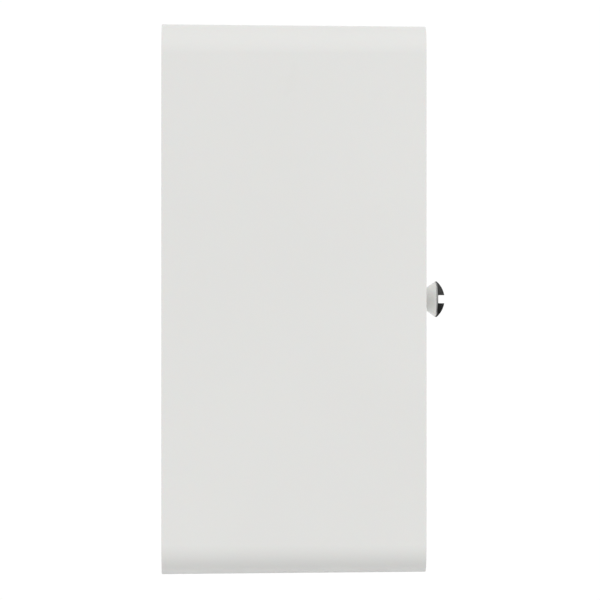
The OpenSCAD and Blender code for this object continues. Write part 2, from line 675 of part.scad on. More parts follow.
module lock_stud() color("silver") difference() {
  union() {
    rod(0, 0, tip_d + 1, neck_back, shank_r);
    cone(0, 0, tip_d, tip_d + 1, shank_r - 1, shank_r);
    rod(0, 0, neck_back, cone_back, neck_r);
    cone(0, 0, cone_back, rim_back, neck_r, rim_r);
    rod(0, 0, rim_back, rim_front, rim_r);
    intersection() {
      at(0, rim_front - sqrt(dome_r * dome_r - rim_r * rim_r), 0)
        rotate([90, 0, 0]) sphere(r = dome_r);
      rod(0, 0, rim_front, rim_front + 12, rim_r + 1);
    }
  }
  // coin slot, level at rest
  block(0, 0, 24, slot_w, rim_front + 0.5, rim_front + 14);
  // groove for the clip
  difference() {
    rod(0, 0, hood_in - 4.7, hood_in - 3.5, 6);
    rod(0, 0, hood_in - 6, hood_in - 2, 3.8);
  }
  // two open quarters that the cross wire swings in, and the lengthwise slot that lets it out
  for (turn = [0, 180]) at(0, spring_d, 0) rotate([0, turn, 0])
    box(0, 6, -wire_gap, wire_gap, -6, 0);
  block(0, 0, 12, 2 * wire_gap, spring_d - wire_gap, spring_d + wire_gap);
  block(0, 0, 2 * wire_gap, 12, tip_d - 1, spring_d + wire_gap);
}
// open ring, with its mouth downwards
module stud_clip() color("silver") difference() {
  rod(0, 0, hood_in - 4.6, hood_in - 3.6, 7.6);
  rod(0, 0, hood_in - 5, hood_in - 3, 3.86);
  box(-3.7, 3.7, hood_in - 5, hood_in - 3, -9, 0);
}
module spring_washer() color("silver") difference() {
  rod(0, 0, hood_in - 3.55, hood_in - 3.42, 7);
  rod(0, 0, hood_in - 4, hood_in - 3, 4.6);
}

back_plate();
plate_seal();
cable_grommet();
battery_cradle();
cradle_rivets();
battery_cells();
cell_spacers();
cell_terminals();
busbars();
terminal_nuts();
retaining_bar();
bar_pad();
bar_screws();
clinch_nuts();
lock_bracket();
bracket_screws();
lock_spring();
board_bracket();
bracket_feet_screws();
board_standoffs();
circuit_board();
board_screws();
heat_sink();
power_transistors();
capacitors();
board_sockets();
status_leds();
switch_base();
switch_button();
board_lugs_posts();
power_tray();
fuse_base();
fuse_studs();
fuse_link();
fuse_cover();
breaker_body();
breaker_studs();
breaker_toggle();
post_base();
output_posts();
copper_links();
power_nuts();
positive_cable();
cell_negative_cable();
output_negative_cable();
sense_wires();
earth_stud();
earth_nuts();
hood();
light_guide();
stud_bushing();
bushing_nut();
lock_stud();
stud_clip();
spring_washer();
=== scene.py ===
# Wall battery unit: materials, hood, lock stud, cables and small detail built round the
# frame's own pieces.  The row frame is +X right, +Y into the wall, +Z up, in metres.
# Shapes are drawn in millimetres as (x, depth, z), with depth measured forwards from the
# wall (along -Y); at() turns them into metres.
import json
import math
import random

import bmesh
import bpy
from mathutils import Matrix, Vector


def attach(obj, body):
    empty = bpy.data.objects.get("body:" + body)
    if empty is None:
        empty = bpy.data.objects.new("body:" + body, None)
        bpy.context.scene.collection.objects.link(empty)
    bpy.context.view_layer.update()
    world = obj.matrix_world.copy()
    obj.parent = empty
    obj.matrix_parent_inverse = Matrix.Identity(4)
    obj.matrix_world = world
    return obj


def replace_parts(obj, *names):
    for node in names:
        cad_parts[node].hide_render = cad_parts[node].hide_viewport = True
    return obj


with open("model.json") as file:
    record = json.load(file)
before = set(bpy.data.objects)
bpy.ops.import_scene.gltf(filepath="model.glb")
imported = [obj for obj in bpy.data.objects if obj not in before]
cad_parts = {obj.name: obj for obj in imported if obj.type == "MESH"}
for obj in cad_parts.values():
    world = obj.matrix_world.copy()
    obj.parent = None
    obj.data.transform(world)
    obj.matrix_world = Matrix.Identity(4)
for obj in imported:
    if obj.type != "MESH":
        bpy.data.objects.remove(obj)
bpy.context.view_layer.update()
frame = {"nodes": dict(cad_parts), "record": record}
MM = 0.001

# Hood: the walls lean in towards the front by the draft angle
HOOD_WIDTH, HOOD_HEIGHT, HOOD_DEPTH = 260.0, 300.0, 144.0
HOOD_CORNER = 16.5
HOOD_WALL = 3.0
DRAFT = math.radians(0.5)
DRAFT_SLOPE = math.tan(DRAFT)

# Battery: eight cells side by side, a row of terminals near each end
CELLS = 8
PITCH = 27.2
CELL_Z = 8.2
LOWER_Z, UPPER_Z = CELL_Z - 55.0, CELL_Z + 55.0
CELL_FRONT = 99.3
TERMINAL_FRONT = 101.3
CELL_XS = [(i - (CELLS - 1) / 2) * PITCH for i in range(CELLS)]
END_X = CELL_XS[-1]

BOARD_FRONT = 88.6


# ------------------------------------------------------------------ node helpers
def linear(c):
    return c / 12.92 if c <= 0.04045 else ((c + 0.055) / 1.055) ** 2.4


def rgb(red, green, blue):
    """Linear colour from 0-255 sRGB values."""
    return (linear(red / 255), linear(green / 255), linear(blue / 255), 1.0)


def scaled(colour, factor):
    return tuple(min(1, c * factor) for c in colour[:3]) + (1.0,)


class Nodes:
    """Short calls for building a shader node tree."""

    def __init__(self, tree):
        self.tree = tree

    def add(self, kind, **settings):
        node = self.tree.nodes.new(kind)
        for key, value in settings.items():
            setattr(node, key, value)
        return node

    def link(self, source, target):
        self.tree.links.new(source, target)

    def put(self, node, name, value):
        """Link a socket to an input, or set the input to a plain value."""
        if isinstance(value, bpy.types.NodeSocket):
            self.link(value, node.inputs[name])
        else:
            node.inputs[name].default_value = value

    def span(self, value, over=(0.3, 0.7), to=(0, 1), smooth=False):
        """Map the range `over` onto the range `to`, clamped."""
        node = self.add("ShaderNodeMapRange")
        if smooth:
            node.interpolation_type = "SMOOTHSTEP"
        self.link(value, node.inputs["Value"])
        node.inputs["From Min"].default_value, node.inputs["From Max"].default_value = over
        node.inputs["To Min"].default_value, node.inputs["To Max"].default_value = to
        return node.outputs[0]

    def maths(self, operation, *values):
        node = self.add("ShaderNodeMath", operation=operation)
        for i, value in enumerate(values):
            self.put(node, i, value)
        return node.outputs[0]

    def vector(self, operation, first, second, second_input=1):
        node = self.add("ShaderNodeVectorMath", operation=operation)
        self.link(first, node.inputs[0])
        self.link(second, node.inputs[second_input])
        return node

    def split(self, vector):
        node = self.add("ShaderNodeSeparateXYZ")
        self.link(vector, node.inputs[0])
        return node.outputs

    def grey_ramp(self, value, *stops):
        """Colour ramp through greys; stops are (position, brightness)."""
        node = self.add("ShaderNodeValToRGB")
        self.link(value, node.inputs[0])
        marks = node.color_ramp.elements
        while len(marks) > 1:
            marks.remove(marks[-1])
        marks[0].position = stops[0][0]
        marks[0].color = (stops[0][1],) * 3 + (1,)
        for position, grey in stops[1:]:
            marks.new(position).color = (grey,) * 3 + (1,)
        return node.outputs[0]

    def choose(self, factor, first, second):
        """First shader at factor 0, second at factor 1."""
        node = self.add("ShaderNodeMixShader")
        for i, socket in enumerate((factor, first, second)):
            self.link(socket, node.inputs[i])
        return node.outputs[0]


MATERIALS = {}
BSDF_INPUTS = {
    "base": "Base Color", "metal": "Metallic", "rough": "Roughness", "normal": "Normal",
    "coat": "Coat Weight", "coat_rough": "Coat Roughness", "spec": "Specular IOR Level",
    "sss": "Subsurface Weight", "sss_scale": "Subsurface Scale",
    "trans": "Transmission Weight", "ior": "IOR",
    "emit": "Emission Color", "emit_strength": "Emission Strength",
}


class Material(Nodes):
    """A named material with procedural textures in object coordinates."""

    def __init__(self, name):
        self.data = bpy.data.materials.new(name)
        self.data.use_nodes = True
        super().__init__(self.data.node_tree)
        self.tree.nodes.clear()
        self.surface = self.add("ShaderNodeOutputMaterial").inputs["Surface"]
        self.coords = self.add("ShaderNodeTexCoord").outputs["Object"]
        MATERIALS[name] = self.data

    def place_texture(self, node, stretch):
        coords = self.coords
        if stretch:
            mapping = self.add("ShaderNodeMapping")
            self.link(coords, mapping.inputs["Vector"])
            mapping.inputs["Scale"].default_value = stretch
            coords = mapping.outputs[0]
        self.link(coords, node.inputs["Vector"])

    def noise(self, scale, detail=3.0, rough=0.5, stretch=None, distortion=0.0):
        node = self.add("ShaderNodeTexNoise")
        self.place_texture(node, stretch)
        node.inputs["Scale"].default_value = scale
        node.inputs["Detail"].default_value = detail
        node.inputs["Roughness"].default_value = rough
        node.inputs["Distortion"].default_value = distortion
        return node.outputs[0]

    def voronoi(self, scale, feature="F1", stretch=None, out="Distance"):
        node = self.add("ShaderNodeTexVoronoi", feature=feature)
        self.place_texture(node, stretch)
        node.inputs["Scale"].default_value = scale
        return node.outputs[out]

    def red_channel(self, colour):
        node = self.add("ShaderNodeSeparateColor")
        self.link(colour, node.inputs[0])
        return node.outputs[0]

    def mix(self, factor, first, second):
        node = self.add("ShaderNodeMix", data_type="RGBA")
        self.put(node, 0, factor)
        self.put(node, 6, first)
        self.put(node, 7, second)
        return node.outputs[2]

    def mottle(self, pattern, colour, amount):
        """The colour, varied by the share `amount` either way."""
        dark, light = scaled(colour, 1 - amount), scaled(colour, 1 + amount)
        return self.mix(self.span(pattern), dark, light)

    def bump(self, height, strength, distance, normal=None):
        node = self.add("ShaderNodeBump")
        self.link(height, node.inputs["Height"])
        node.inputs["Strength"].default_value = strength
        node.inputs["Distance"].default_value = distance
        if normal is not None:
            self.link(normal, node.inputs["Normal"])
        return node.outputs[0]

    def edges(self, radius, tight):
        """1 on sharp outside and inside edges, 0 on flats."""
        bevel = self.add("ShaderNodeBevel", samples=4)
        bevel.inputs["Radius"].default_value = radius
        normal = self.add("ShaderNodeNewGeometry").outputs["Normal"]
        dot = self.vector("DOT_PRODUCT", bevel.outputs[0], normal)
        return self.span(dot.outputs["Value"], over=(1.0, 1.0 - tight), to=(0.0, 1.0))

    def finish(self, **values):
        """Principled surface linked to the output; keys are those of BSDF_INPUTS."""
        bsdf = self.add("ShaderNodeBsdfPrincipled")
        for key, value in values.items():
            self.put(bsdf, BSDF_INPUTS[key], value)
        self.link(bsdf.outputs[0], self.surface)
        return bsdf.outputs[0]


# ------------------------------------------------------------------ materials
def moulded(name, colour, rough=0.42, grain=2600.0, grain_depth=0.000012, vary=0.03,
            coat=0.0, wear=None):
    """Plastic or paint: fine grain, slow colour drift and, with `wear`, rubbed edges."""
    mat = Material(name)
    broad = mat.noise(scale=9.0, detail=4)
    fine = mat.noise(scale=grain, detail=2)
    mid = mat.noise(scale=240.0, detail=3)
    base = mat.mottle(broad, colour, vary)
    if wear:
        patches = mat.span(mid, over=(0.45, 0.65), to=(0.0, 0.55))
        worn = mat.maths("MULTIPLY", mat.edges(radius=0.0005, tight=0.05), patches)
        base = mat.mix(worn, base, wear)
    normal = mat.bump(fine, strength=0.35, distance=grain_depth)
    normal = mat.bump(broad, strength=0.10, distance=0.0004, normal=normal)
    roughness = mat.maths("ADD", mat.span(mid, to=(rough - 0.05, rough + 0.05)),
                          mat.span(broad, to=(-0.02, 0.02)))
    mat.finish(base=base, rough=roughness, normal=normal, coat=coat, coat_rough=0.25,
               sss_scale=0.001)


def metal(name, colour, rough, mottle=0.06, brush=None, tarnish=None, tarnish_amount=0.0,
          scratch=0.0, flakes=None):
    """Metal; `brush` is the stretch of its grain, `flakes` the scale of its spangle."""
    mat = Material(name)
    broad = mat.noise(scale=30.0, detail=5)
    mid = mat.noise(scale=320.0, detail=4)
    base = mat.mottle(broad, colour, mottle)
    if flakes:
        flake = mat.red_channel(mat.voronoi(scale=flakes, out="Color"))
        amount = mat.span(flake, over=(0, 1), to=(0.0, 0.22))
        base = mat.mix(amount, base, scaled(colour, 0.72))
    if tarnish:
        cloud = mat.noise(scale=55.0, detail=6, rough=0.62)
        amount = mat.span(cloud, over=(0.5, 0.72), to=(0.0, tarnish_amount))
        base = mat.mix(amount, base, tarnish)
    roughness = mat.span(mid, to=(rough * 0.8, rough * 1.2))
    normal = mat.bump(mid, strength=0.08, distance=0.00004)
    if brush:
        line = mat.noise(scale=1.0, detail=4, rough=0.6, stretch=brush)
        normal = mat.bump(line, strength=0.28, distance=0.000012, normal=normal)
        roughness = mat.maths("ADD", roughness, mat.span(line, to=(-0.05, 0.06)))
    if scratch:
        cracks = mat.voronoi(scale=90.0, feature="DISTANCE_TO_EDGE", stretch=(1.0, 3.5, 0.6))
        line = mat.span(cracks, over=(0.0, 0.012), to=(1.0, 0.0))
        roughness = mat.maths("ADD", roughness, mat.maths("MULTIPLY", line, scratch))
    mat.finish(base=base, metal=1.0, rough=roughness, normal=normal)


def hood_plastic():
    """Pale grey with a fine spark-eroded texture."""
    mat = Material("hood_plastic")
    broad = mat.noise(scale=6.0, detail=4)
    mid = mat.noise(scale=120.0, detail=4)
    fine = mat.voronoi(scale=2400.0)
    base = mat.mix(mat.span(broad), rgb(228, 228, 226), rgb(231, 231, 229))
    cloud = mat.noise(scale=38.0, detail=6, rough=0.65)
    base = mat.mix(mat.span(cloud, over=(0.62, 0.8), to=(0.0, 0.25)), base, rgb(223, 222, 218))
    normal = mat.bump(fine, strength=0.22, distance=0.00001)
    normal = mat.bump(broad, strength=0.05, distance=0.0008, normal=normal)
    mat.finish(base=base, rough=mat.span(mid, to=(0.40, 0.50)), normal=normal, spec=0.42,
               sss=0.04, sss_scale=0.0015)


def seal_rubber():
    """Closed-cell foam with small pores."""
    mat = Material("seal_rubber")
    pores = mat.voronoi(scale=1500.0)
    base = mat.mix(mat.span(pores, over=(0.1, 0.6)), (0.008, 0.008, 0.008, 1),
                   (0.026, 0.026, 0.027, 1))
    mat.finish(base=base, rough=0.86, normal=mat.bump(pores, strength=0.8, distance=0.00012),
               spec=0.25)


def cell_film():
    """Thin blue film, tight over the can, with a few pulls."""
    mat = Material("cell_film")
    pull = mat.noise(scale=16.0, detail=5, rough=0.6, stretch=(1.0, 0.5, 0.3), distortion=0.6)
    base = mat.mix(mat.span(mat.noise(scale=7.0)), rgb(24, 70, 142), rgb(32, 84, 160))
    normal = mat.bump(pull, strength=0.25, distance=0.0006)
    grain = mat.noise(scale=900.0, detail=2)
    normal = mat.bump(grain, strength=0.08, distance=0.00002, normal=normal)
    mat.finish(base=base, rough=mat.span(pull, to=(0.22, 0.34)), normal=normal, coat=0.35,
               coat_rough=0.12)


def board_green():
    """Solder mask with a grid of tracks and scattered pads."""
    mat = Material("board_green")
    grid = mat.add("ShaderNodeTexBrick")
    mapping = mat.add("ShaderNodeMapping")
    mat.link(mat.coords, mapping.inputs["Vector"])
    mapping.inputs["Rotation"].default_value = (math.radians(90), 0, 0)
    mat.link(mapping.outputs[0], grid.inputs["Vector"])
    black, white = (0, 0, 0, 1), (1, 1, 1, 1)
    for name, value in (("Scale", 62.0), ("Mortar Size", 0.045), ("Color1", black),
                        ("Color2", black), ("Mortar", white)):
        grid.inputs[name].default_value = value
    pads = mat.span(mat.voronoi(scale=430.0), over=(0.10, 0.14), to=(1.0, 0.0))
    tracks = mat.red_channel(grid.outputs[0])
    raised = mat.maths("MAXIMUM", tracks, mat.maths("MULTIPLY", pads, 0.8))
    base = mat.mix(mat.noise(scale=40.0), rgb(10, 66, 36), rgb(14, 78, 42))
    base = mat.mix(mat.maths("MULTIPLY", tracks, 0.8), base, rgb(26, 112, 58))
    base = mat.mix(mat.maths("MULTIPLY", pads, 0.85), base, rgb(190, 178, 128))
    mat.finish(base=base, rough=mat.span(mat.noise(scale=300.0), to=(0.22, 0.34)),
               normal=mat.bump(raised, strength=0.5, distance=0.00005), coat=0.4,
               coat_rough=0.1)


def led_green():
    mat = Material("led_green")
    mat.finish(
        base=mat.mix(mat.noise(scale=400.0, detail=2), rgb(70, 190, 84), rgb(96, 214, 108)),
        rough=0.16, trans=0.35, ior=1.5, emit=rgb(60, 220, 90), emit_strength=0.15,
        normal=mat.bump(mat.noise(scale=1200.0), strength=0.05, distance=0.00002))


def clear_cover():
    mat = Material("clear_cover")
    mat.finish(
        base=mat.mix(mat.noise(scale=12.0), rgb(176, 184, 188), rgb(196, 202, 206)),
        rough=mat.span(mat.noise(scale=90.0, detail=4), to=(0.08, 0.16)),
        trans=0.93, ior=1.49,
        normal=mat.bump(mat.noise(scale=40.0, detail=2), strength=0.06, distance=0.0004))


def light_pipe():
    mat = Material("light_pipe")
    mat.finish(
        base=mat.mix(mat.noise(scale=30.0), rgb(214, 222, 226), rgb(226, 232, 234)),
        rough=mat.span(mat.noise(scale=500.0), to=(0.42, 0.55)),
        trans=0.45, ior=1.49,
        normal=mat.bump(mat.noise(scale=1800.0, detail=2), strength=0.2, distance=0.00002))


def solder_tin():
    mat = Material("solder_tin")
    mat.finish(
        base=mat.mix(mat.noise(scale=300.0), (0.55, 0.56, 0.57, 1), (0.68, 0.69, 0.7, 1)),
        metal=1.0, rough=mat.span(mat.noise(scale=500.0), to=(0.22, 0.42)),
        normal=mat.bump(mat.noise(scale=700.0), strength=0.2, distance=0.00006))


hood_plastic()
metal("bright_chrome", (0.87, 0.87, 0.86, 1), rough=0.075, mottle=0.015, scratch=0.10)
metal("zinc_steel", (0.60, 0.61, 0.62, 1), rough=0.33, mottle=0.05, flakes=190.0, scratch=0.08)
metal("fastener_zinc", (0.66, 0.67, 0.69, 1), rough=0.24, mottle=0.05,
      tarnish=(0.50, 0.47, 0.36, 1), tarnish_amount=0.25)
moulded("pan_paint", rgb(205, 207, 207), rough=0.52, grain=900.0, grain_depth=0.00003,
        vary=0.015, wear=(0.42, 0.43, 0.44, 1))
metal("sink_aluminium", (0.64, 0.65, 0.66, 1), rough=0.34, brush=(900, 60, 8), mottle=0.03)
metal("terminal_metal", (0.76, 0.76, 0.77, 1), rough=0.28, brush=(500, 500, 30), mottle=0.04,
      scratch=0.12)
metal("copper", (0.86, 0.42, 0.25, 1), rough=0.26, brush=(30, 700, 700), mottle=0.05,
      tarnish=(0.42, 0.17, 0.09, 1), tarnish_amount=0.5)
metal("brass_fitting", (0.80, 0.61, 0.27, 1), rough=0.22, mottle=0.05,
      tarnish=(0.44, 0.31, 0.13, 1), tarnish_amount=0.3)
moulded("black_moulding", (0.018, 0.018, 0.02, 1), rough=0.45, grain=1800.0, vary=0.12,
        wear=(0.09, 0.09, 0.09, 1))
moulded("grey_moulding", (0.052, 0.054, 0.057, 1), rough=0.5, grain=1500.0,
        grain_depth=0.00002, vary=0.08, wear=(0.16, 0.16, 0.16, 1))
moulded("white_moulding", rgb(222, 218, 206), rough=0.4, vary=0.02)
moulded("red_button", rgb(178, 26, 24), rough=0.3, vary=0.05, coat=0.2)
moulded("toggle_yellow", rgb(224, 168, 28), rough=0.33, vary=0.04, coat=0.15,
        wear=rgb(236, 196, 96))
moulded("fuse_amber", rgb(206, 104, 26), rough=0.36, vary=0.06, coat=0.1)
moulded("insulator", rgb(214, 214, 202), rough=0.5, grain=700.0, vary=0.04)
moulded("cable_red", rgb(166, 22, 20), rough=0.46, grain=1300.0, vary=0.07, coat=0.05)
moulded("cable_black", (0.014, 0.014, 0.015, 1), rough=0.5, grain=1300.0, vary=0.15)
moulded("wire_white", rgb(208, 208, 202), rough=0.45, vary=0.03)
moulded("shrink_black", (0.01, 0.01, 0.011, 1), rough=0.36, grain=420.0,
        grain_depth=0.00005, vary=0.2)
moulded("shrink_red", rgb(140, 18, 16), rough=0.36, grain=420.0, grain_depth=0.00005,
        vary=0.1)
seal_rubber()
cell_film()
board_green()
led_green()
clear_cover()
light_pipe()
solder_tin()


# ------------------------------------------------------------------ modifiers
SMOOTH_ANGLE = 34


def geometry_group(name):
    group = bpy.data.node_groups.new(name, "GeometryNodeTree")
    for direction in ("INPUT", "OUTPUT"):
        group.interface.new_socket("Geometry", in_out=direction,
                                   socket_type="NodeSocketGeometry")
    return group, group.nodes.new("NodeGroupInput"), group.nodes.new("NodeGroupOutput")


def shading_group():
    """Smooth shading, except across edges sharper than SMOOTH_ANGLE."""
    group, source, result = geometry_group("shade_%d" % SMOOTH_ANGLE)
    new, link = group.nodes.new, group.links.new
    smooth_faces = new("GeometryNodeSetShadeSmooth")
    sharp_edges = new("GeometryNodeSetShadeSmooth")
    sharp_edges.domain = "EDGE"
    edge_angle = new("GeometryNodeInputMeshEdgeAngle")
    sharper = new("FunctionNodeCompare")
    sharper.data_type = "FLOAT"
    sharper.operation = "GREATER_THAN"
    sharper.inputs[1].default_value = math.radians(SMOOTH_ANGLE)
    link(source.outputs[0], smooth_faces.inputs[0])
    link(smooth_faces.outputs[0], sharp_edges.inputs[0])
    link(edge_angle.outputs[0], sharper.inputs[0])
    link(sharper.outputs[0], sharp_edges.inputs["Selection"])
    sharp_edges.inputs["Shade Smooth"].default_value = False
    link(sharp_edges.outputs[0], result.inputs[0])
    return group


def cleaning_group():
    """Weld the mesh and drop its stored normals."""
    group, source, result = geometry_group("clean_in")
    merge = group.nodes.new("GeometryNodeMergeByDistance")
    remove = group.nodes.new("GeometryNodeRemoveAttribute")
    merge.inputs["Distance"].default_value = 2e-6
    remove.inputs["Name"].default_value = "custom_normal"
    group.links.new(source.outputs[0], merge.inputs[0])
    group.links.new(merge.outputs[0], remove.inputs[0])
    group.links.new(remove.outputs[0], result.inputs[0])
    return group


SHADING, CLEANING = shading_group(), cleaning_group()


def add_group(obj, name, group):
    obj.modifiers.new(name, "NODES").node_group = group


def add_bevel(obj, width, angle):
    bevel = obj.modifiers.new("edges", "BEVEL")
    bevel.width = width * MM
    bevel.segments = 2
    bevel.limit_method = "ANGLE"
    bevel.angle_limit = math.radians(angle)
    return bevel


def add_shading(obj, weighted=False):
    add_group(obj, "shade", SHADING)
    if weighted:
        obj.modifiers.new("weight", "WEIGHTED_NORMAL").keep_sharp = True


def dress(obj, width, flatten):
    """Soft edges and clean shading by modifiers only."""
    add_group(obj, "clean", CLEANING)
    if flatten:  # one face per flat side, so the bevel leaves no slivers between holes
        flat = obj.modifiers.new("flat", "DECIMATE")
        flat.decimate_type = "DISSOLVE"
        flat.angle_limit = math.radians(0.4)
    if width:
        bevel = add_bevel(obj, width, angle=34)
        bevel.use_clamp_overlap = True
        bevel.miter_outer = "MITER_ARC"
    add_shading(obj, weighted=bool(width))


# ------------------------------------------------------------------ objects
def link_object(name, data):
    obj = bpy.data.objects.new(name, data)
    bpy.context.scene.collection.objects.link(obj)
    return obj


def mesh_object(name, bm):
    mesh = bpy.data.meshes.new(name)
    bm.to_mesh(mesh)
    bm.free()
    return link_object(name, mesh)


def solid(name, bm, material=None, weld=1e-7):
    bmesh.ops.remove_doubles(bm, verts=bm.verts, dist=weld)
    bmesh.ops.recalc_face_normals(bm, faces=bm.faces)
    obj = mesh_object(name, bm)
    if material:
        obj.data.materials.append(MATERIALS[material])
    return obj


def chassis_part(name, bm, material):
    obj = solid(name, bm, material)
    add_shading(obj)
    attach(obj, "chassis")
    return obj


def cutter(name, bm):
    return solid(name, bm, weld=1e-8)


def boolean(target, tool, operation):
    """Apply a boolean at once and drop the tool."""
    modifier = target.modifiers.new("b", "BOOLEAN")
    modifier.operation = operation
    modifier.solver = "EXACT"
    modifier.object = tool
    bpy.context.view_layer.update()
    depsgraph = bpy.context.evaluated_depsgraph_get()
    mesh = bpy.data.meshes.new_from_object(target.evaluated_get(depsgraph))
    old = target.data
    target.modifiers.remove(modifier)
    target.data = mesh
    bpy.data.meshes.remove(old)
    bpy.data.objects.remove(tool)


def finish_cut_part(obj, material, body, node):
    """Material, shading and frame data for a part shaped by booleans."""
    obj.data.materials.clear()
    obj.data.materials.append(MATERIALS[material])
    add_shading(obj, weighted=True)
    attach(obj, body)
    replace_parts(obj, node)


# ------------------------------------------------------------------ shapes
def at(x, depth, z):
    return Vector((x * MM, -depth * MM, z * MM))


def bridge(bm, rings, close_start=True, close_end=True):
    """Skin a list of rings with equal counts; returns their vertices."""
    rows = [[bm.verts.new(point) for point in ring] for ring in rings]
    count = len(rows[0])
    for a, b in zip(rows, rows[1:]):
        for i in range(count):
            j = (i + 1) % count
            bm.faces.new((a[i], a[j], b[j], b[i]))
    if close_start:
        bm.faces.new(rows[0][::-1])
    if close_end:
        bm.faces.new(rows[-1])
    return rows


def bridge_round(bm, rings):
    """Skin rings that run back to the first one."""
    bridge(bm, rings + [rings[0]], close_start=False, close_end=False)


def circle(radius, count):
    turns = [2 * math.pi * k / count for k in range(count)]
    return [(radius * math.cos(a), radius * math.sin(a)) for a in turns]


def rounded_rect(width, height, radius, steps):
    cx, cz = width / 2 - radius, height / 2 - radius
    corners = ((cx, cz, 0), (-cx, cz, 90), (-cx, -cz, 180), (cx, -cz, 270))
    out = []
    for x, z, start in corners:
        for i in range(steps + 1):
            a = math.radians(start + 90 * i / steps)
            out.append((x + radius * math.cos(a), z + radius * math.sin(a)))
    return out


def upright_slot(width, length, offset, steps=10):
    """Round-ended slot, long along its second axis, grown by offset."""
    radius, centre = width / 2 + offset, length / 2 - width / 2
    out = []
    for z, start in ((centre, 0), (-centre, 180)):
        for i in range(steps + 1):
            a = math.radians(start + 180 * i / steps)
            out.append((radius * math.cos(a), z + radius * math.sin(a)))
    return out


def level_slot(width, length, offset, steps=10):
    return [(x, z) for z, x in upright_slot(width, length, offset, steps)]


def at_depth(outline, depth, x=0.0, z=0.0):
    return [at(x + px, depth, z + pz) for px, pz in outline]


def in_frame(matrix, outline, height):
    """An outline in the matrix's own XY plane, raised by height."""
    return [matrix @ Vector((x * MM, y * MM, height * MM)) for x, y in outline]


def box(bm, xs, depths, zs):
    """Box between (low, high) pairs."""
    centre = at(*((low + high) / 2 for low, high in (xs, depths, zs)))
    size = [(high - low) * MM for low, high in (xs, depths, zs)]
    matrix = Matrix.Translation(centre) @ Matrix.Diagonal((*size, 1))
    bmesh.ops.create_cube(bm, size=1.0, matrix=matrix)


def plate(bm, x, z, width, height, radius, back, front, edge=0.3, steps=6):
    """A rounded plate facing forwards with softened front and back edges."""
    rings = []
    for depth, inset in ((back, 1), (back + 0.3 * edge, 0.3), (back + edge, 0),
                         (front - edge, 0), (front - 0.3 * edge, 0.3), (front, 1)):
        shrink = inset * edge
        corner = max(radius - shrink, 0.05) if inset else radius
        outline = rounded_rect(width - 2 * shrink, height - 2 * shrink, corner, steps)
        rings.append(at_depth(outline, depth, x, z))
    bridge(bm, rings)


def lathe(bm, profile, x=0.0, z=0.0, count=96):
    """Turn (depth, radius) pairs about a front-to-back axis; radius 0 makes a pole."""
    rows = []
    for depth, radius in profile:
        if radius < 1e-6:
            rows.append([bm.verts.new(at(x, depth, z))])
        else:
            ring = at_depth(circle(radius, count), depth, x, z)
            rows.append([bm.verts.new(point) for point in ring])
    for a, b in zip(rows, rows[1:]):
        for i in range(count):
            j = (i + 1) % count
            if len(a) == 1:
                bm.faces.new((a[0], b[j], b[i]))
            elif len(b) == 1:
                bm.faces.new((a[i], a[j], b[0]))
            else:
                bm.faces.new((a[i], a[j], b[j], b[i]))


# ------------------------------------------------------------------ hood
RIB_DEPTHS = (15.4, 60)
SIDE_RIB_DEPTHS = (15.4, 50)
RIB_ZS = (142.5, 147.7)
SIDE_RIB_XS = (124.6, 127.7)
VENT_DEPTH, VENT_WIDTH, VENT_LENGTH = 98.0, 3.0, 44.0
VENT_COUNT, VENT_PITCH = 15, 12.0
WINDOW_Z, WINDOW_HEIGHT, WINDOW_WIDTH = 114, 7.0, 36.0
WINDOW_CHAMFER = 0.3
BUSHING_HOLE_RADIUS = 6.55
CUT_BACK = 138
KNOCKOUT_DEPTH = 34


def hood_ring(depth, inset):
    shrink = DRAFT_SLOPE * depth + inset
    outline = rounded_rect(HOOD_WIDTH - 2 * shrink, HOOD_HEIGHT - 2 * shrink,
                           HOOD_CORNER - shrink, 22)
    return at_depth(outline, depth)


def hood_body():
    lip, front, inside = 0.45, 0.6, 1.5  # edge radii: wall lip, front, inside front
    lip_arc = [math.radians(a) for a in range(0, 91, 18)]
    front_arc = [math.radians(a) for a in range(0, 91, 15)]
    stations = (24, 48, 72, 96, 120)
    outer = [hood_ring(lip - lip * math.sin(a), HOOD_WALL - lip + lip * math.cos(a))
             for a in lip_arc]
    outer += [hood_ring(lip - lip * math.cos(a), lip - lip * math.sin(a)) for a in lip_arc]
    outer += [hood_ring(depth, 0) for depth in stations]
    outer += [hood_ring(HOOD_DEPTH - front + front * math.sin(a), front - front * math.cos(a))
              for a in front_arc]
    inner = [hood_ring(HOOD_DEPTH - HOOD_WALL - inside + inside * math.sin(a),
                       HOOD_WALL + inside - inside * math.cos(a))
             for a in reversed(front_arc)]
    inner += [hood_ring(depth, HOOD_WALL) for depth in reversed(stations)]
    bm = bmesh.new()
    first = bridge(bm, outer, close_start=False)[0]
    last = bridge(bm, inner, close_end=False)[-1]
    for i in range(len(first)):  # join the lip to the inside wall
        j = (i + 1) % len(first)
        bm.faces.new((last[i], last[j], first[j], first[i]))
    return solid("hood_shell", bm, "hood_plastic")


def mirrored(span):
    return (-span[1], -span[0])


def hood_ribs():
    """Short ribs inside the four walls."""
    bm = bmesh.new()
    for x in (-84, -28, 28, 84):
        for zs in (RIB_ZS, mirrored(RIB_ZS)):
            box(bm, (x - 1, x + 1), RIB_DEPTHS, zs)
    for z in (-70, 0, 70):
        for xs in (SIDE_RIB_XS, mirrored(SIDE_RIB_XS)):
            box(bm, xs, SIDE_RIB_DEPTHS, (z - 1, z + 1))
    return cutter("ribs", bm)


def wall_frame(x, depth, side):
    """Frame lying on the sloping top (side 1) or bottom (side -1)."""
    z = side * (HOOD_HEIGHT / 2 - DRAFT_SLOPE * depth)
    return Matrix.Translation(at(x, depth, z)) @ Matrix.Rotation(side * DRAFT, 4, "X")


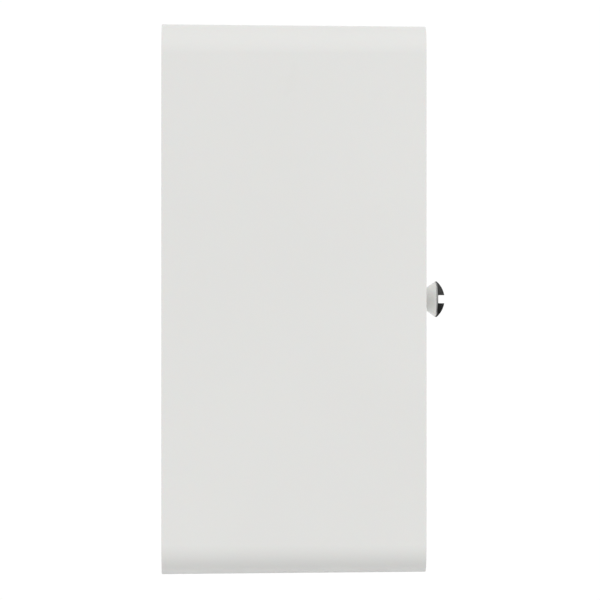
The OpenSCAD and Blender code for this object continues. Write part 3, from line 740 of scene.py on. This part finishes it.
def hood_cuts():
    bm = bmesh.new()
    # vents: (height out of the wall, growth), with a small chamfer at the outside
    vent = ((-8.0, 0.0), (-0.35, 0.0), (0.0, 0.35), (1.0, 1.35))
    for i in range(VENT_COUNT):
        x = (i - VENT_COUNT // 2) * VENT_PITCH
        for side in (1, -1):
            wall = wall_frame(x, VENT_DEPTH, side)
            bridge(bm, [in_frame(wall, upright_slot(VENT_WIDTH, VENT_LENGTH, grow), side * out)
                        for out, grow in vent])
    # window for the light guide
    window = ((CUT_BACK, 0), (HOOD_DEPTH - WINDOW_CHAMFER, 0), (HOOD_DEPTH, WINDOW_CHAMFER),
              (HOOD_DEPTH + 1, WINDOW_CHAMFER + 1))
    bridge(bm, [at_depth(level_slot(WINDOW_HEIGHT, WINDOW_WIDTH, grow), depth, 0, WINDOW_Z)
                for depth, grow in window])
    # hole for the bushing
    bridge(bm, [at_depth(circle(BUSHING_HOLE_RADIUS, 64), depth)
                for depth in (CUT_BACK, HOOD_DEPTH + 2)])
    # scored rings of the two knock-outs in the underside: (radius, height)
    groove = ((11.5, 1.1), (12.5, 1.1), (12.7, -1), (11.3, -1))
    for x in (-78, -30):
        wall = wall_frame(x, KNOCKOUT_DEPTH, -1)
        bridge_round(bm, [in_frame(wall, circle(radius, 72), height)
                          for radius, height in groove])
    return cutter("cuts", bm)


hood = hood_body()
boolean(hood, hood_ribs(), "UNION")
boolean(hood, hood_cuts(), "DIFFERENCE")
finish_cut_part(hood, "hood_plastic", "cover", "hood")

# ------------------------------------------------------------------ stud
STUD_TIP = 120.0  # depth of the inner end
SHANK = 4.5
RIM_RADIUS = 10.1
RIM_BACK, RIM_FRONT = HOOD_DEPTH + 9.4, HOOD_DEPTH + 10.2
CONE = math.tan(math.radians(35))
DOME_RADIUS = 13.6
DOME_START = RIM_RADIUS - 0.16
DOME_STEPS = 24
NECK = RIM_RADIUS - (RIM_BACK - HOOD_DEPTH - 4.5) * CONE
CROSS_DEPTH = 126.0  # centre of the slots through the shank
CROSS_DEPTHS = (CROSS_DEPTH - 1.3, CROSS_DEPTH + 1.3)


def stud_profile():
    """(depth, radius) from the inner tip to the middle of the domed head."""
    profile = [
        (STUD_TIP, 0.0), (STUD_TIP, 3.2), (120.3, 3.5), (121.0, SHANK),
        # groove
        (136.3, SHANK), (136.3, 3.8), (137.5, 3.8), (137.5, SHANK),
        # neck
        (HOOD_DEPTH + 1.4, SHANK), (HOOD_DEPTH + 1.4, NECK - 0.15),
        (HOOD_DEPTH + 1.55, NECK), (HOOD_DEPTH + 4.35, NECK),
        (HOOD_DEPTH + 4.5, NECK + 0.03), (HOOD_DEPTH + 4.65, NECK + 0.15),
        # cone and rim
        (RIM_BACK - 0.25, RIM_RADIUS - 0.25 * CONE - 0.05),
        (RIM_BACK - 0.08, RIM_RADIUS - 0.06), (RIM_BACK + 0.1, RIM_RADIUS),
        (RIM_FRONT - 0.12, RIM_RADIUS), (RIM_FRONT + 0.05, RIM_RADIUS - 0.06),
        (RIM_FRONT + 0.16, DOME_START),
    ]
    centre = RIM_FRONT - math.sqrt(DOME_RADIUS * DOME_RADIUS - RIM_RADIUS * RIM_RADIUS)
    for i in range(1, DOME_STEPS + 1):
        a = math.asin(DOME_START / DOME_RADIUS) * (1 - i / DOME_STEPS)
        profile.append((centre + DOME_RADIUS * math.cos(a), DOME_RADIUS * math.sin(a)))
    return profile


def coin_slot():
    """Level slot across the head, with chamfered floor corners."""
    floor_depth = RIM_FRONT + 0.5
    section = [(-2.3, 0.25), (-2.05, 0.0), (2.05, 0.0), (2.3, 0.25), (2.3, 8.0), (-2.3, 8.0)]
    bm = bmesh.new()
    bridge(bm, [[at(x, floor_depth + rise, z) for z, rise in section] for x in (-12, 12)])
    return cutter("coin_slot", bm)


bm = bmesh.new()
lathe(bm, stud_profile(), count=128)
stud = solid("quarter_turn_stud", bm, "bright_chrome")
boolean(stud, coin_slot(), "DIFFERENCE")
# two opposite quarters, a level slot, and an upright slot open at the tip
for xs, depths, zs in (((-1, 6), CROSS_DEPTHS, (-6, 1)),
                       ((-6, 1), CROSS_DEPTHS, (-1, 6)),
                       ((-6, 6), CROSS_DEPTHS, (-1.3, 1.3)),
                       ((-1.3, 1.3), (STUD_TIP - 1, CROSS_DEPTH + 1.3), (-6, 6))):
    bm = bmesh.new()
    box(bm, xs, depths, zs)
    boolean(stud, cutter("cut", bm), "DIFFERENCE")
add_bevel(stud, width=0.12, angle=40)
finish_cut_part(stud, "bright_chrome", "quarter_turn", "lock_stud")


# ------------------------------------------------------------------ cables
def curve(start, control_1, control_2, end, steps):
    """Points along a cubic Bezier curve."""
    a, b, c, d = map(Vector, (start, control_1, control_2, end))
    return [a * (1 - t) ** 3 + b * 3 * (1 - t) ** 2 * t + c * 3 * (1 - t) * t * t + d * t ** 3
            for t in [i / steps for i in range(steps + 1)]]


def route(*legs):
    """A leg is a point, or (control, control, end, steps) curving on from the last point."""
    points = []
    for leg in legs:
        if len(leg) == 4:
            points[-1:] = curve(points[-1], *leg)
        else:
            points.append(leg)
    return points


def loop(centre, up, side, radius, count):
    turns = [2 * math.pi * k / count for k in range(count)]
    return [centre + (up * math.cos(a) + side * math.sin(a)) * radius for a in turns]


def sweep(bm, points, radius, sides=20):
    """A round sheath swept along points, skipping any closer than 0.15 mm."""
    line = []
    for point in points:
        place = at(*point)
        if not line or (place - line[-1]).length > 0.15 * MM:
            line.append(place)
    up, rows = None, []
    for i, place in enumerate(line):
        after, before = line[min(i + 1, len(line) - 1)], line[max(i - 1, 0)]
        along = (after - before).normalized()
        up = (up - along * up.dot(along)) if up is not None else along.orthogonal()
        up = up.normalized()
        rows.append(loop(place, up, along.cross(up), radius * MM, sides))
    bridge(bm, rows)


def ring_lug(bm, x, z, depth, turn, hole):
    """Tinned crimp lug: eyelet, neck and barrel, lying flat at the given depth."""
    flat = (Matrix.Translation(at(x, depth, z)) @ Matrix.Rotation(math.radians(90), 4, "X")
            @ Matrix.Rotation(math.radians(turn), 4, "Z"))
    section = ((6.4, 0.0), (6.6, 0.2), (6.6, 1.8), (6.4, 2.0),
               (hole + 0.2, 2.0), (hole, 1.8), (hole, 0.2), (hole + 0.2, 0.0))
    bridge_round(bm, [in_frame(flat, circle(radius, 40), height) for radius, height in section])
    # the neck blends from the flat eyelet to the round barrel
    rows = []
    for step in range(9):
        u = step / 8
        half_width = 4.8 * (1 - u) + 4.4 * u
        bottom = 0.05 * (1 - u) + -0.2 * u
        half_height = 0.95 * (1 - u) + 4.2 * u
        power = 2 / (4 - 2 * u)
        ring = []
        for k in range(24):
            c, s = (f(2 * math.pi * k / 24) for f in (math.cos, math.sin))
            y = half_width * math.copysign(abs(c) ** power, c)
            rise = half_height * math.copysign(abs(s) ** power, s)
            height = bottom + half_height + rise
            ring.append(flat @ Vector(((5.6 + 6.2 * u) * MM, y * MM, height * MM)))
        rows.append(ring)
    bridge(bm, rows)


def cable(name, node, radius, material, points, lugs):
    """Sheath and end lugs; each lug is (x, z, depth, turn in degrees, hole radius)."""
    bm = bmesh.new()
    sweep(bm, points, radius)
    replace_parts(chassis_part(name + "_sheath", bm, material), node)
    bm = bmesh.new()
    for lug in lugs:
        ring_lug(bm, *lug)
    chassis_part(name + "_lugs", bm, "solder_tin")


END_DEPTH = TERMINAL_FRONT + 4.2  # cable centre where it leaves a cell terminal

cable("positive_cable", "positive_cable", 4.0, "cable_red", route(
    (END_X, END_DEPTH, LOWER_Z - 11.0),
    (END_X, END_DEPTH, LOWER_Z - 12.5),
    (END_X, END_DEPTH, LOWER_Z - 16),
    ((96, 108, -84), (117, 112, -96), (117, 92, -104), 18),
    ((117, 80, -107.5), (110, 77, -107), (99, 76.6, -107), 12),
    (96.0, 76.6, -107),
), [(END_X, LOWER_Z, TERMINAL_FRONT, -90, 3.2), (84, -107, 72, 0, 3.2)])

cable("cell_negative", "cell_negative_cable", 3.6, "cable_black", route(
    (-106.0, END_DEPTH, LOWER_Z),
    (-107.6, END_DEPTH, LOWER_Z),
    (-110, END_DEPTH, LOWER_Z),
    ((-120, 106, LOWER_Z), (-120, 100, -40), (-120, 88, -28), 12),
    ((-120, 78, 0), (-120, 78, 50), (-119, 84, 80), 12),
    ((-119, 96, 100), (-112, 97, 105), (-99, 97, 105), 12),
    (-91.6, 97, 105),
), [(-END_X, LOWER_Z, TERMINAL_FRONT, 180, 3.2), (-80, 105, 92.6, 180, 3.2)])

cable("output_negative", "output_negative_cable", 3.6, "cable_black", route(
    (-91.6, 97, 123),
    (-99, 97, 123),
    ((-112, 97, 123), (-120, 94, 116), (-120, 80, 100), 14),
    ((-120, 62, 60), (-120, 62, 0), (-120, 68, -40), 12),
    ((-121, 76, -90), (-108, 78, -91), (-56, 77.2, -90), 16),
    (-46.2, 77.2, -90),
), [(-80, 123, 92.6, 180, 3.2), (-34.5, -90, 72, 180, 4.2)])

# heat shrink: (share of the length, change of radius)
SLEEVE = ((0, -0.35), (0.02, -0.1), (0.08, 0.1), (0.3, 0.05),
          (0.6, -0.1), (0.9, -0.25), (0.98, -0.35), (1.0, -0.6))


def sleeve(bm, start, end, radius):
    """Heat shrink between two points, tapering, with rolled ends."""
    start, end = Vector(start), Vector(end)
    along = (end - start).normalized()
    up = along.orthogonal().normalized()
    rows = []
    for share, change in SLEEVE:
        centre = start + (end - start) * share
        ring = loop(centre, up, along.cross(up), radius + change, 24)
        rows.append([at(*point) for point in ring])
    bridge(bm, rows)


def tie(bm, centre, along, radius):
    """A flat cable tie: a band round the cable, and its head."""
    centre, along = Vector(centre), Vector(along).normalized()
    up = along.orthogonal().normalized()
    side = along.cross(up)
    width, thick = 3.2, 0.9
    rows = []
    for out in loop(Vector((0, 0, 0)), up, side, 1.0, 36):
        rows.append([at(*(centre + out * (radius + lift) + along * (across * width / 2)))
                     for across, lift in ((-1, 0.0), (-0.9, thick), (0.9, thick), (1, 0.0))])
    bridge_round(bm, rows)
    height, breadth, length = 3.0, 4.4, 4.6
    middle = centre + up * (radius + 1.3)
    rows = []
    for rise, taper in ((-1, 2), (1, 2.4)):  # the outer face is a little smaller
        rows.append([at(*(middle + up * (rise * height / 2) + side * (j * breadth / taper)
                          + along * (k * length / taper)))
                     for j, k in ((-1, -1), (1, -1), (1, 1), (-1, 1))])
    bridge(bm, rows)


bm = bmesh.new()
sleeve(bm, (END_X, END_DEPTH, LOWER_Z - 9.0), (END_X, END_DEPTH, LOWER_Z - 17.0), 4.9)
sleeve(bm, (93.0, 76.4, -107), (100.5, 76.7, -107), 4.9)
chassis_part("positive_cable_shrink", bm, "shrink_red")

bm = bmesh.new()
sleeve(bm, (-104.0, END_DEPTH, LOWER_Z), (-111.0, END_DEPTH, LOWER_Z), 4.6)
for z in (105, 123):
    sleeve(bm, (-89.5, 97, z), (-99.5, 97, z), 4.5)
sleeve(bm, (-43.5, 77.0, -90), (-56.0, 77.2, -90), 4.5)
chassis_part("negative_cable_shrink", bm, "shrink_black")

bm = bmesh.new()
tie(bm, (-120, 79, 40), along=(0, 0.05, 1), radius=4.3)
tie(bm, (-120, 62.5, 10), along=(0, 0.02, 1), radius=4.0)
chassis_part("cable_ties", bm, "black_moulding")


def sense_wires():
    """Thin wires from the upper and lower terminals to the plug on the board."""
    bm = bmesh.new()
    radius, sides = 0.8, 10
    start = TERMINAL_FRONT + 3.2
    for i in range(4):
        x = (2 * i - 3) * PITCH + 6.4
        plug = 68.5 + i * 2.2
        sweep(bm, route(
            (x, start, UPPER_Z + 3),
            (x, TERMINAL_FRONT + 3.4, UPPER_Z + 6),
            ((x, 104, 86), (68 + i * 2.2, 112, 88), (plug, 100, 103), 20),
            (plug, 93, 103),
        ), radius, sides)
    for i in range(3):
        x = (2 * i - 2) * PITCH
        run = -27 - 1.8 * i
        back = 2 * i
        plug = 83.5 - 2.2 * i
        sweep(bm, route(
            (x + 6.4, start, LOWER_Z + 3),
            (x + 6.4, TERMINAL_FRONT + 3.6, LOWER_Z + 8),
            ((x + 8, 104, run), (x + 12, 103.2, run), (x + 24, 103.2, run), 10),
            ((96, 106, run), (118, 107, run), (119, 92 - back, -20), 14),
            ((119, 84 - back, 0), (119, 84 - back, 50), (119, 88 - back, 84), 10),
            ((119, 104, 100), (84 - back, 108, 103), (plug, 98, 103), 16),
            (plug, 93, 103),
        ), radius, sides)
    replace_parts(chassis_part("sense_wire_strands", bm, "wire_white"), "sense_wires")


sense_wires()

# ------------------------------------------------------------------ carried-over nodes
# bevel width in mm: the nodes that get it; any other node has none
EDGE_WIDTHS = {
    0.06: "cell_spacers",
    0.12: "light_guide stud_clip",
    0.15: "circuit_board board_screws board_sockets stud_bushing",
    0.2: "busbars bar_screws lock_bracket bracket_screws board_bracket bracket_feet_screws"
         " board_standoffs heat_sink power_transistors switch_base",
    0.25: "battery_cradle retaining_bar clinch_nuts lock_spring switch_button"
          " board_lugs_posts power_tray fuse_studs breaker_studs copper_links earth_stud",
    0.3: "cell_terminals terminal_nuts fuse_link fuse_cover output_posts power_nuts"
         " earth_nuts bushing_nut",
    0.35: "back_plate cradle_rivets",
    0.4: "bar_pad fuse_base breaker_toggle post_base",
    0.5: "plate_seal breaker_body",
    0.6: "cable_grommet capacitors",
    1.0: "battery_cells",
}
EDGE = {name: width for width, names in EDGE_WIDTHS.items() for name in names.split()}
FASTENERS = set(
    "bar_screws bracket_screws bracket_feet_screws board_screws terminal_nuts power_nuts"
    " earth_nuts fuse_studs breaker_studs cradle_rivets clinch_nuts bushing_nut stud_clip"
    " spring_washer lock_spring".split())
SHEETS = set("back_plate battery_cradle board_bracket circuit_board copper_links"
             " lock_bracket power_tray retaining_bar".split())
slot_of = {part["node"]: part["material_slot"] for part in frame["record"]["subparts"]}
for name, obj in frame["nodes"].items():
    material = "fastener_zinc" if name in FASTENERS else slot_of[name]
    obj.data.materials.clear()
    obj.data.materials.append(MATERIALS[material])
    if not obj.hide_render:
        dress(obj, EDGE.get(name, 0.0), flatten=name in SHEETS)

# ------------------------------------------------------------------ cell detail
bm = bmesh.new()  # bare lids inside the folded film edge
for x in CELL_XS:
    plate(bm, x, CELL_Z, 22.4, 143.6, 1.6, CELL_FRONT - 0.6, CELL_FRONT + 0.18, edge=0.08)
chassis_part("cell_lids", bm, "terminal_metal")

# burst disc (depth, growth) and filler plug (depth, radius), depths from the cell front
DISC = ((-0.2, 0.9), (0.36, 0.9), (0.42, 0.8), (0.42, 0.2), (0.22, 0.0))
PLUG = ((0, 0), (0, 2.6), (0.4, 2.6), (0.5, 2.4), (0.5, 1.4), (0.35, 1.2), (0.35, 0))
bm = bmesh.new()
for x in CELL_XS:
    bridge(bm, [at_depth(level_slot(9.0, 15.0, grow, 14), CELL_FRONT + depth, x, 33.5)
                for depth, grow in DISC])
    lathe(bm, [(CELL_FRONT + depth, radius) for depth, radius in PLUG], x, -20.5, 32)
chassis_part("cell_vents_and_plugs", bm, "sink_aluminium")

bm = bmesh.new()  # insulating plates round the terminals
for x in CELL_XS:
    for z in (LOWER_Z, UPPER_Z):
        plate(bm, x, z, 21.0, 18.0, 3.0, CELL_FRONT - 0.1, CELL_FRONT + 0.6, edge=0.2)
chassis_part("terminal_insulators", bm, "black_moulding")

# ------------------------------------------------------------------ board detail
bm = bmesh.new()
plate(bm, 76, 103, 17.4, 3.6, 0.4, BOARD_FRONT + 1.6, BOARD_FRONT + 9.2, edge=0.2)
for i in range(7):
    plate(bm, 68.6 + i * 2.45, 101.0, 1.1, 0.9, 0.2, BOARD_FRONT + 4.5, BOARD_FRONT + 9.0,
          edge=0.1, steps=3)
chassis_part("sense_plug", bm, "white_moulding")

# chips: x, z, width, height
CHIPS = [(-2, 99, 10, 7), (12, 126, 7, 7), (-6, 128, 12, 5), (74, 125, 9, 9), (74, 113, 5, 4),
         (24, 110, 6, 5), (4, 106, 4, 4)]
LEG_PITCH = 1.27
# areas kept free of small parts: left, right, bottom, top
KEEP_OUT = [(-71, -17, 92, 136), (33, 63, 96, 128), (64.5, 88, 98, 108), (28, 54, 127, 137),
            (15, 26, 94, 106), (-87, -72, 97, 131), (-15, 15, 111.5, 116.5)]
CHIP_MARGIN, SCREW_MARGIN = 2.4, 4.5
PART_REACH, PART_MARGIN = 1.3, 1.5
PART_LIMIT = 85


def area_round(x, z, half_width, half_height):
    return (x - half_width, x + half_width, z - half_height, z + half_height)


def scatter_parts():
    """Random free places for small parts: (x, z, turned, resistor)."""
    rng = random.Random(11)
    taken = [area_round(x, z, width / 2 + CHIP_MARGIN, height / 2 + CHIP_MARGIN)
             for x, z, width, height in CHIPS]
    taken += KEEP_OUT
    taken += [area_round(x, z, SCREW_MARGIN, SCREW_MARGIN)
              for x in (-84, 84) for z in (94, 134)]
    parts = []
    for _ in range(900):
        x, z = rng.uniform(-15, 87), rng.uniform(91, 137)
        if all(not (left - PART_REACH < x < right + PART_REACH
                    and bottom - PART_REACH < z < top + PART_REACH)
               for left, right, bottom, top in taken):
            parts.append((round(x, 1), round(z, 1), rng.random() < 0.5, rng.random() < 0.6))
            taken.append(area_round(x, z, PART_MARGIN, PART_MARGIN))
        if len(parts) >= PART_LIMIT:
            break
    return parts


def small_plate(bm, x, z, width, height, turned, back, rise):
    """A plate standing `rise` off the board; turned ones swap width and height."""
    if turned:
        width, height = height, width
    plate(bm, x, z, width, height, 0.1, back, BOARD_FRONT + rise, edge=0.08, steps=2)


bm = bmesh.new()
for x, z, width, height in CHIPS:
    plate(bm, x, z, width, height, 0.3, BOARD_FRONT + 0.15, BOARD_FRONT + 1.5, edge=0.2,
          steps=3)
chassis_part("board_chips", bm, "black_moulding")

bm = bmesh.new()  # chip legs and the ends of the small parts
for x, z, width, height in CHIPS:
    legs = int(width / LEG_PITCH)
    for i in range(legs):
        for side in (-1, 1):
            plate(bm, x + (i - (legs - 1) / 2) * LEG_PITCH, z + side * (height / 2 + 0.6),
                  0.42, 1.5, 0.1, BOARD_FRONT - 0.02, BOARD_FRONT + 0.28, edge=0.06, steps=2)
small_parts = scatter_parts()
for x, z, turned, _ in small_parts:
    for shift in (-0.85, 0.85):
        dx, dz = (0, shift) if turned else (shift, 0)
        small_plate(bm, x + dx, z + dz, 0.5, 1.3, turned, BOARD_FRONT - 0.02, 0.55)
chassis_part("board_solder", bm, "solder_tin")

for name, wanted, rise, material in (
        ("board_resistors", True, 0.5, "black_moulding"),
        ("board_small_capacitors", False, 0.8, "insulator")):
    bm = bmesh.new()
    for x, z, turned, resistor in small_parts:
        if resistor is wanted:
            small_plate(bm, x, z, 1.5, 1.2, turned, BOARD_FRONT, rise)
    chassis_part(name, bm, material)


# ------------------------------------------------------------------ floor
def floor_pale():
    """Matt floor, clear from below so that it blocks no view of the underside."""
    mat = Material("floor_pale")
    base = mat.mix(mat.noise(scale=2.0), rgb(243, 243, 242), rgb(247, 247, 246))
    lit = mat.finish(base=base, rough=0.85, spec=0.1)
    clear = mat.add("ShaderNodeBsdfTransparent").outputs[0]
    backfacing = mat.add("ShaderNodeNewGeometry").outputs["Backfacing"]
    mat.link(mat.choose(backfacing, lit, clear), mat.surface)
    return mat.data


bm = bmesh.new()
bmesh.ops.create_circle(bm, cap_ends=True, segments=96, radius=3.2)
floor = mesh_object("floor", bm)
floor.location = (0, 0, -0.62)
floor.data.materials.append(floor_pale())
floor.visible_diffuse = False
floor.visible_glossy = False

# ------------------------------------------------------------------ reflection card
# A small dome in front of the polished stud: black to the front and right, grey elsewhere.
# Only reflections that start on the stud's head see it.  Lengths here are in metres.
CARD_Y = -0.154
CARD_RADIUS = 0.04
CARD_BACK_Y = -0.1462
HEAD_RADIUS, HEAD_BACK_Y = 0.0115, -0.1455  # reach of the stud's head


def starts_on_stud(mat):
    """1 where the ray that hit the card set out from the stud's head."""
    geometry = mat.add("ShaderNodeNewGeometry").outputs
    length = mat.add("ShaderNodeLightPath").outputs["Ray Length"]
    back = mat.vector("SCALE", geometry["Incoming"], length, "Scale")
    start = mat.vector("ADD", geometry["Position"], back.outputs[0])
    origin = mat.split(start.outputs[0])
    squares = [mat.maths("MULTIPLY", origin[axis], origin[axis]) for axis in "XZ"]
    near_axis = mat.maths("LESS_THAN", mat.maths("ADD", *squares), HEAD_RADIUS ** 2)
    return mat.maths("MULTIPLY", near_axis, mat.maths("LESS_THAN", origin["Y"], HEAD_BACK_Y))


def card_black():
    mat = Material("card_black")
    place = mat.split(mat.coords)
    on_stud = starts_on_stud(mat)
    # the black part: its lower and upper borders, then its left border
    dark = mat.maths("MULTIPLY", mat.span(place["Z"], over=(-0.036, -0.032)),
                     mat.span(place["Z"], over=(0.030, 0.035), to=(1, 0)))
    angle = mat.maths("ARCTAN2", place["X"], mat.maths("SUBTRACT", CARD_Y, place["Y"]))

    def across(start, end, to=(0, 1)):
        return mat.span(angle, over=(math.radians(start), math.radians(end)), to=to)

    dark = mat.maths("MULTIPLY", dark, across(-22, -13))
    black = mat.maths("MULTIPLY", dark,
                      mat.span(place["Z"], over=(-0.02, 0.03), to=(0.018, 0.07)))
    # to the left the grey brightens upwards, and straight above is a white card
    sector = mat.maths("MULTIPLY", across(-80, -60), across(-40, -22, to=(1, 0)))
    upwards = mat.span(place["Z"], over=(-0.03, 0.03), to=(-0.12, 0.42))
    tone = mat.maths("ADD", 0.33, mat.maths("MULTIPLY", sector, upwards))
    cap = mat.maths("MULTIPLY", mat.span(place["Z"], over=(0.0352, 0.0385), to=(0, 0.5)),
                    mat.span(place["Y"], over=(-0.174, -0.166), to=(1, 0)))
    tone = mat.maths("ADD", tone, cap)
    grey = mat.maths("MULTIPLY", mat.maths("SUBTRACT", 1.0, dark), tone)
    glow = mat.add("ShaderNodeEmission")
    mat.link(mat.maths("ADD", black, grey), glow.inputs["Strength"])
    clear = mat.add("ShaderNodeBsdfTransparent").outputs[0]
    mat.link(mat.choose(on_stud, clear, glow.outputs[0]), mat.surface)
    return mat.data


bm = bmesh.new()
bmesh.ops.create_uvsphere(bm, u_segments=48, v_segments=24, radius=CARD_RADIUS,
                          matrix=Matrix.Translation((0, CARD_Y, 0)))
behind = [v for v in bm.verts if v.co.y > CARD_BACK_Y]
bmesh.ops.delete(bm, geom=behind, context="VERTS")
card = mesh_object("card", bm)
card.data.materials.append(card_black())
for ray in ("camera", "diffuse", "transmission", "shadow", "volume_scatter"):
    setattr(card, "visible_" + ray, False)


# ------------------------------------------------------------------ world
def build_world():
    world = bpy.data.worlds.new("studio")
    bpy.context.scene.world = world
    world.use_nodes = True
    sky = Nodes(world.node_tree)
    sky.tree.nodes.clear()
    direction = sky.split(sky.add("ShaderNodeTexCoord").outputs["Generated"])
    height = sky.maths("MULTIPLY_ADD", direction["Z"], 0.5, 0.5)  # 0 straight down, 1 up

    def background(strength, colour=(1, 1, 0.995, 1)):
        node = sky.add("ShaderNodeBackground")
        sky.put(node, "Strength", strength)
        node.inputs["Color"].default_value = colour
        return node.outputs[0]

    # soft light: strongest at the horizon, weakest from below
    soft = sky.grey_ramp(height, (0.0, 0.36), (0.5, 1.282), (1.0, 0.711))
    # what polished metal sees: a darker horizon, a large box overhead, less from the left
    band = sky.grey_ramp(height, (0.0, 0.42), (0.40, 0.50), (0.47, 0.34), (0.53, 0.36),
                         (0.62, 0.72), (0.80, 1.0), (1.0, 1.0))
    left = sky.span(direction["X"], over=(-0.80, -0.10), to=(0.55, 1.0), smooth=True)
    gloss = sky.maths("MULTIPLY", band, left)
    # the pale backdrop, far to the right
    backdrop = sky.span(direction["X"], over=(0.80, 0.97), to=(0.0, 0.60), smooth=True)
    gloss = sky.maths("ADD", gloss, backdrop)
    # the bright sweep under the unit, seen by the lower edge
    under = sky.maths(
        "MULTIPLY",
        sky.span(direction["X"], over=(-0.10, 0.55), to=(0.0, 2.0), smooth=True),
        sky.span(direction["Z"], over=(-0.80, -0.45), to=(1.0, 0.0), smooth=True))
    sideways = sky.maths("ABSOLUTE", direction["Y"], 0.0)
    under = sky.maths("MULTIPLY", under,
                      sky.span(sideways, over=(0.25, 0.50), to=(1.0, 0.0), smooth=True))
    gloss = sky.maths("ADD", gloss, under)

    path = sky.add("ShaderNodeLightPath").outputs
    shader = sky.choose(path["Is Glossy Ray"], background(soft), background(gloss))
    white = background(1.02, colour=(1, 1, 1, 1))
    shader = sky.choose(path["Is Camera Ray"], shader, white)
    sky.link(shader, sky.add("ShaderNodeOutputWorld").inputs["Surface"])


build_world()


# ------------------------------------------------------------------ key light and camera
def aim(obj, direction):
    obj.rotation_mode = "QUATERNION"
    obj.rotation_quaternion = direction.to_track_quat("-Z", "Y")


KEY_TARGET = Vector((0, -0.07, 0))
key = bpy.data.lights.new("key", "AREA")
key.shape = "RECTANGLE"
key.size = 2.4
key.size_y = 2.4
key.energy = 14.0
key.use_nodes = True
key_nodes = Nodes(key.node_tree)
is_glossy = key_nodes.add("ShaderNodeLightPath").outputs["Is Glossy Ray"]
# the lamp is dimmer in reflections
key_nodes.link(key_nodes.span(is_glossy, over=(0, 1), to=(1.0, 0.35)),
               key.node_tree.nodes["Emission"].inputs["Strength"])
key_object = link_object("key", key)
key_object.location = (-2.6, -2.6, 2.4)
aim(key_object, KEY_TARGET - key_object.location)

# the camera looks along +X from the left; yaw turns it to the front, pitch up (radians)
YAW, PITCH_ANGLE = 0.0090407939, -0.00016253555
camera = bpy.data.cameras.new("camera")
camera.sensor_width = 36.0
camera.lens = 295.35
camera.clip_start = 0.05
camera.clip_end = 50
camera_object = link_object("camera", camera)
camera_object.location = (-2.80, -0.0511, 0.0)
aim(camera_object, Vector((math.cos(YAW) * math.cos(PITCH_ANGLE),
                           -math.sin(YAW) * math.cos(PITCH_ANGLE),
                           math.sin(PITCH_ANGLE))))
bpy.context.scene.camera = camera_object
bpy.context.scene.view_settings.view_transform = "Standard"
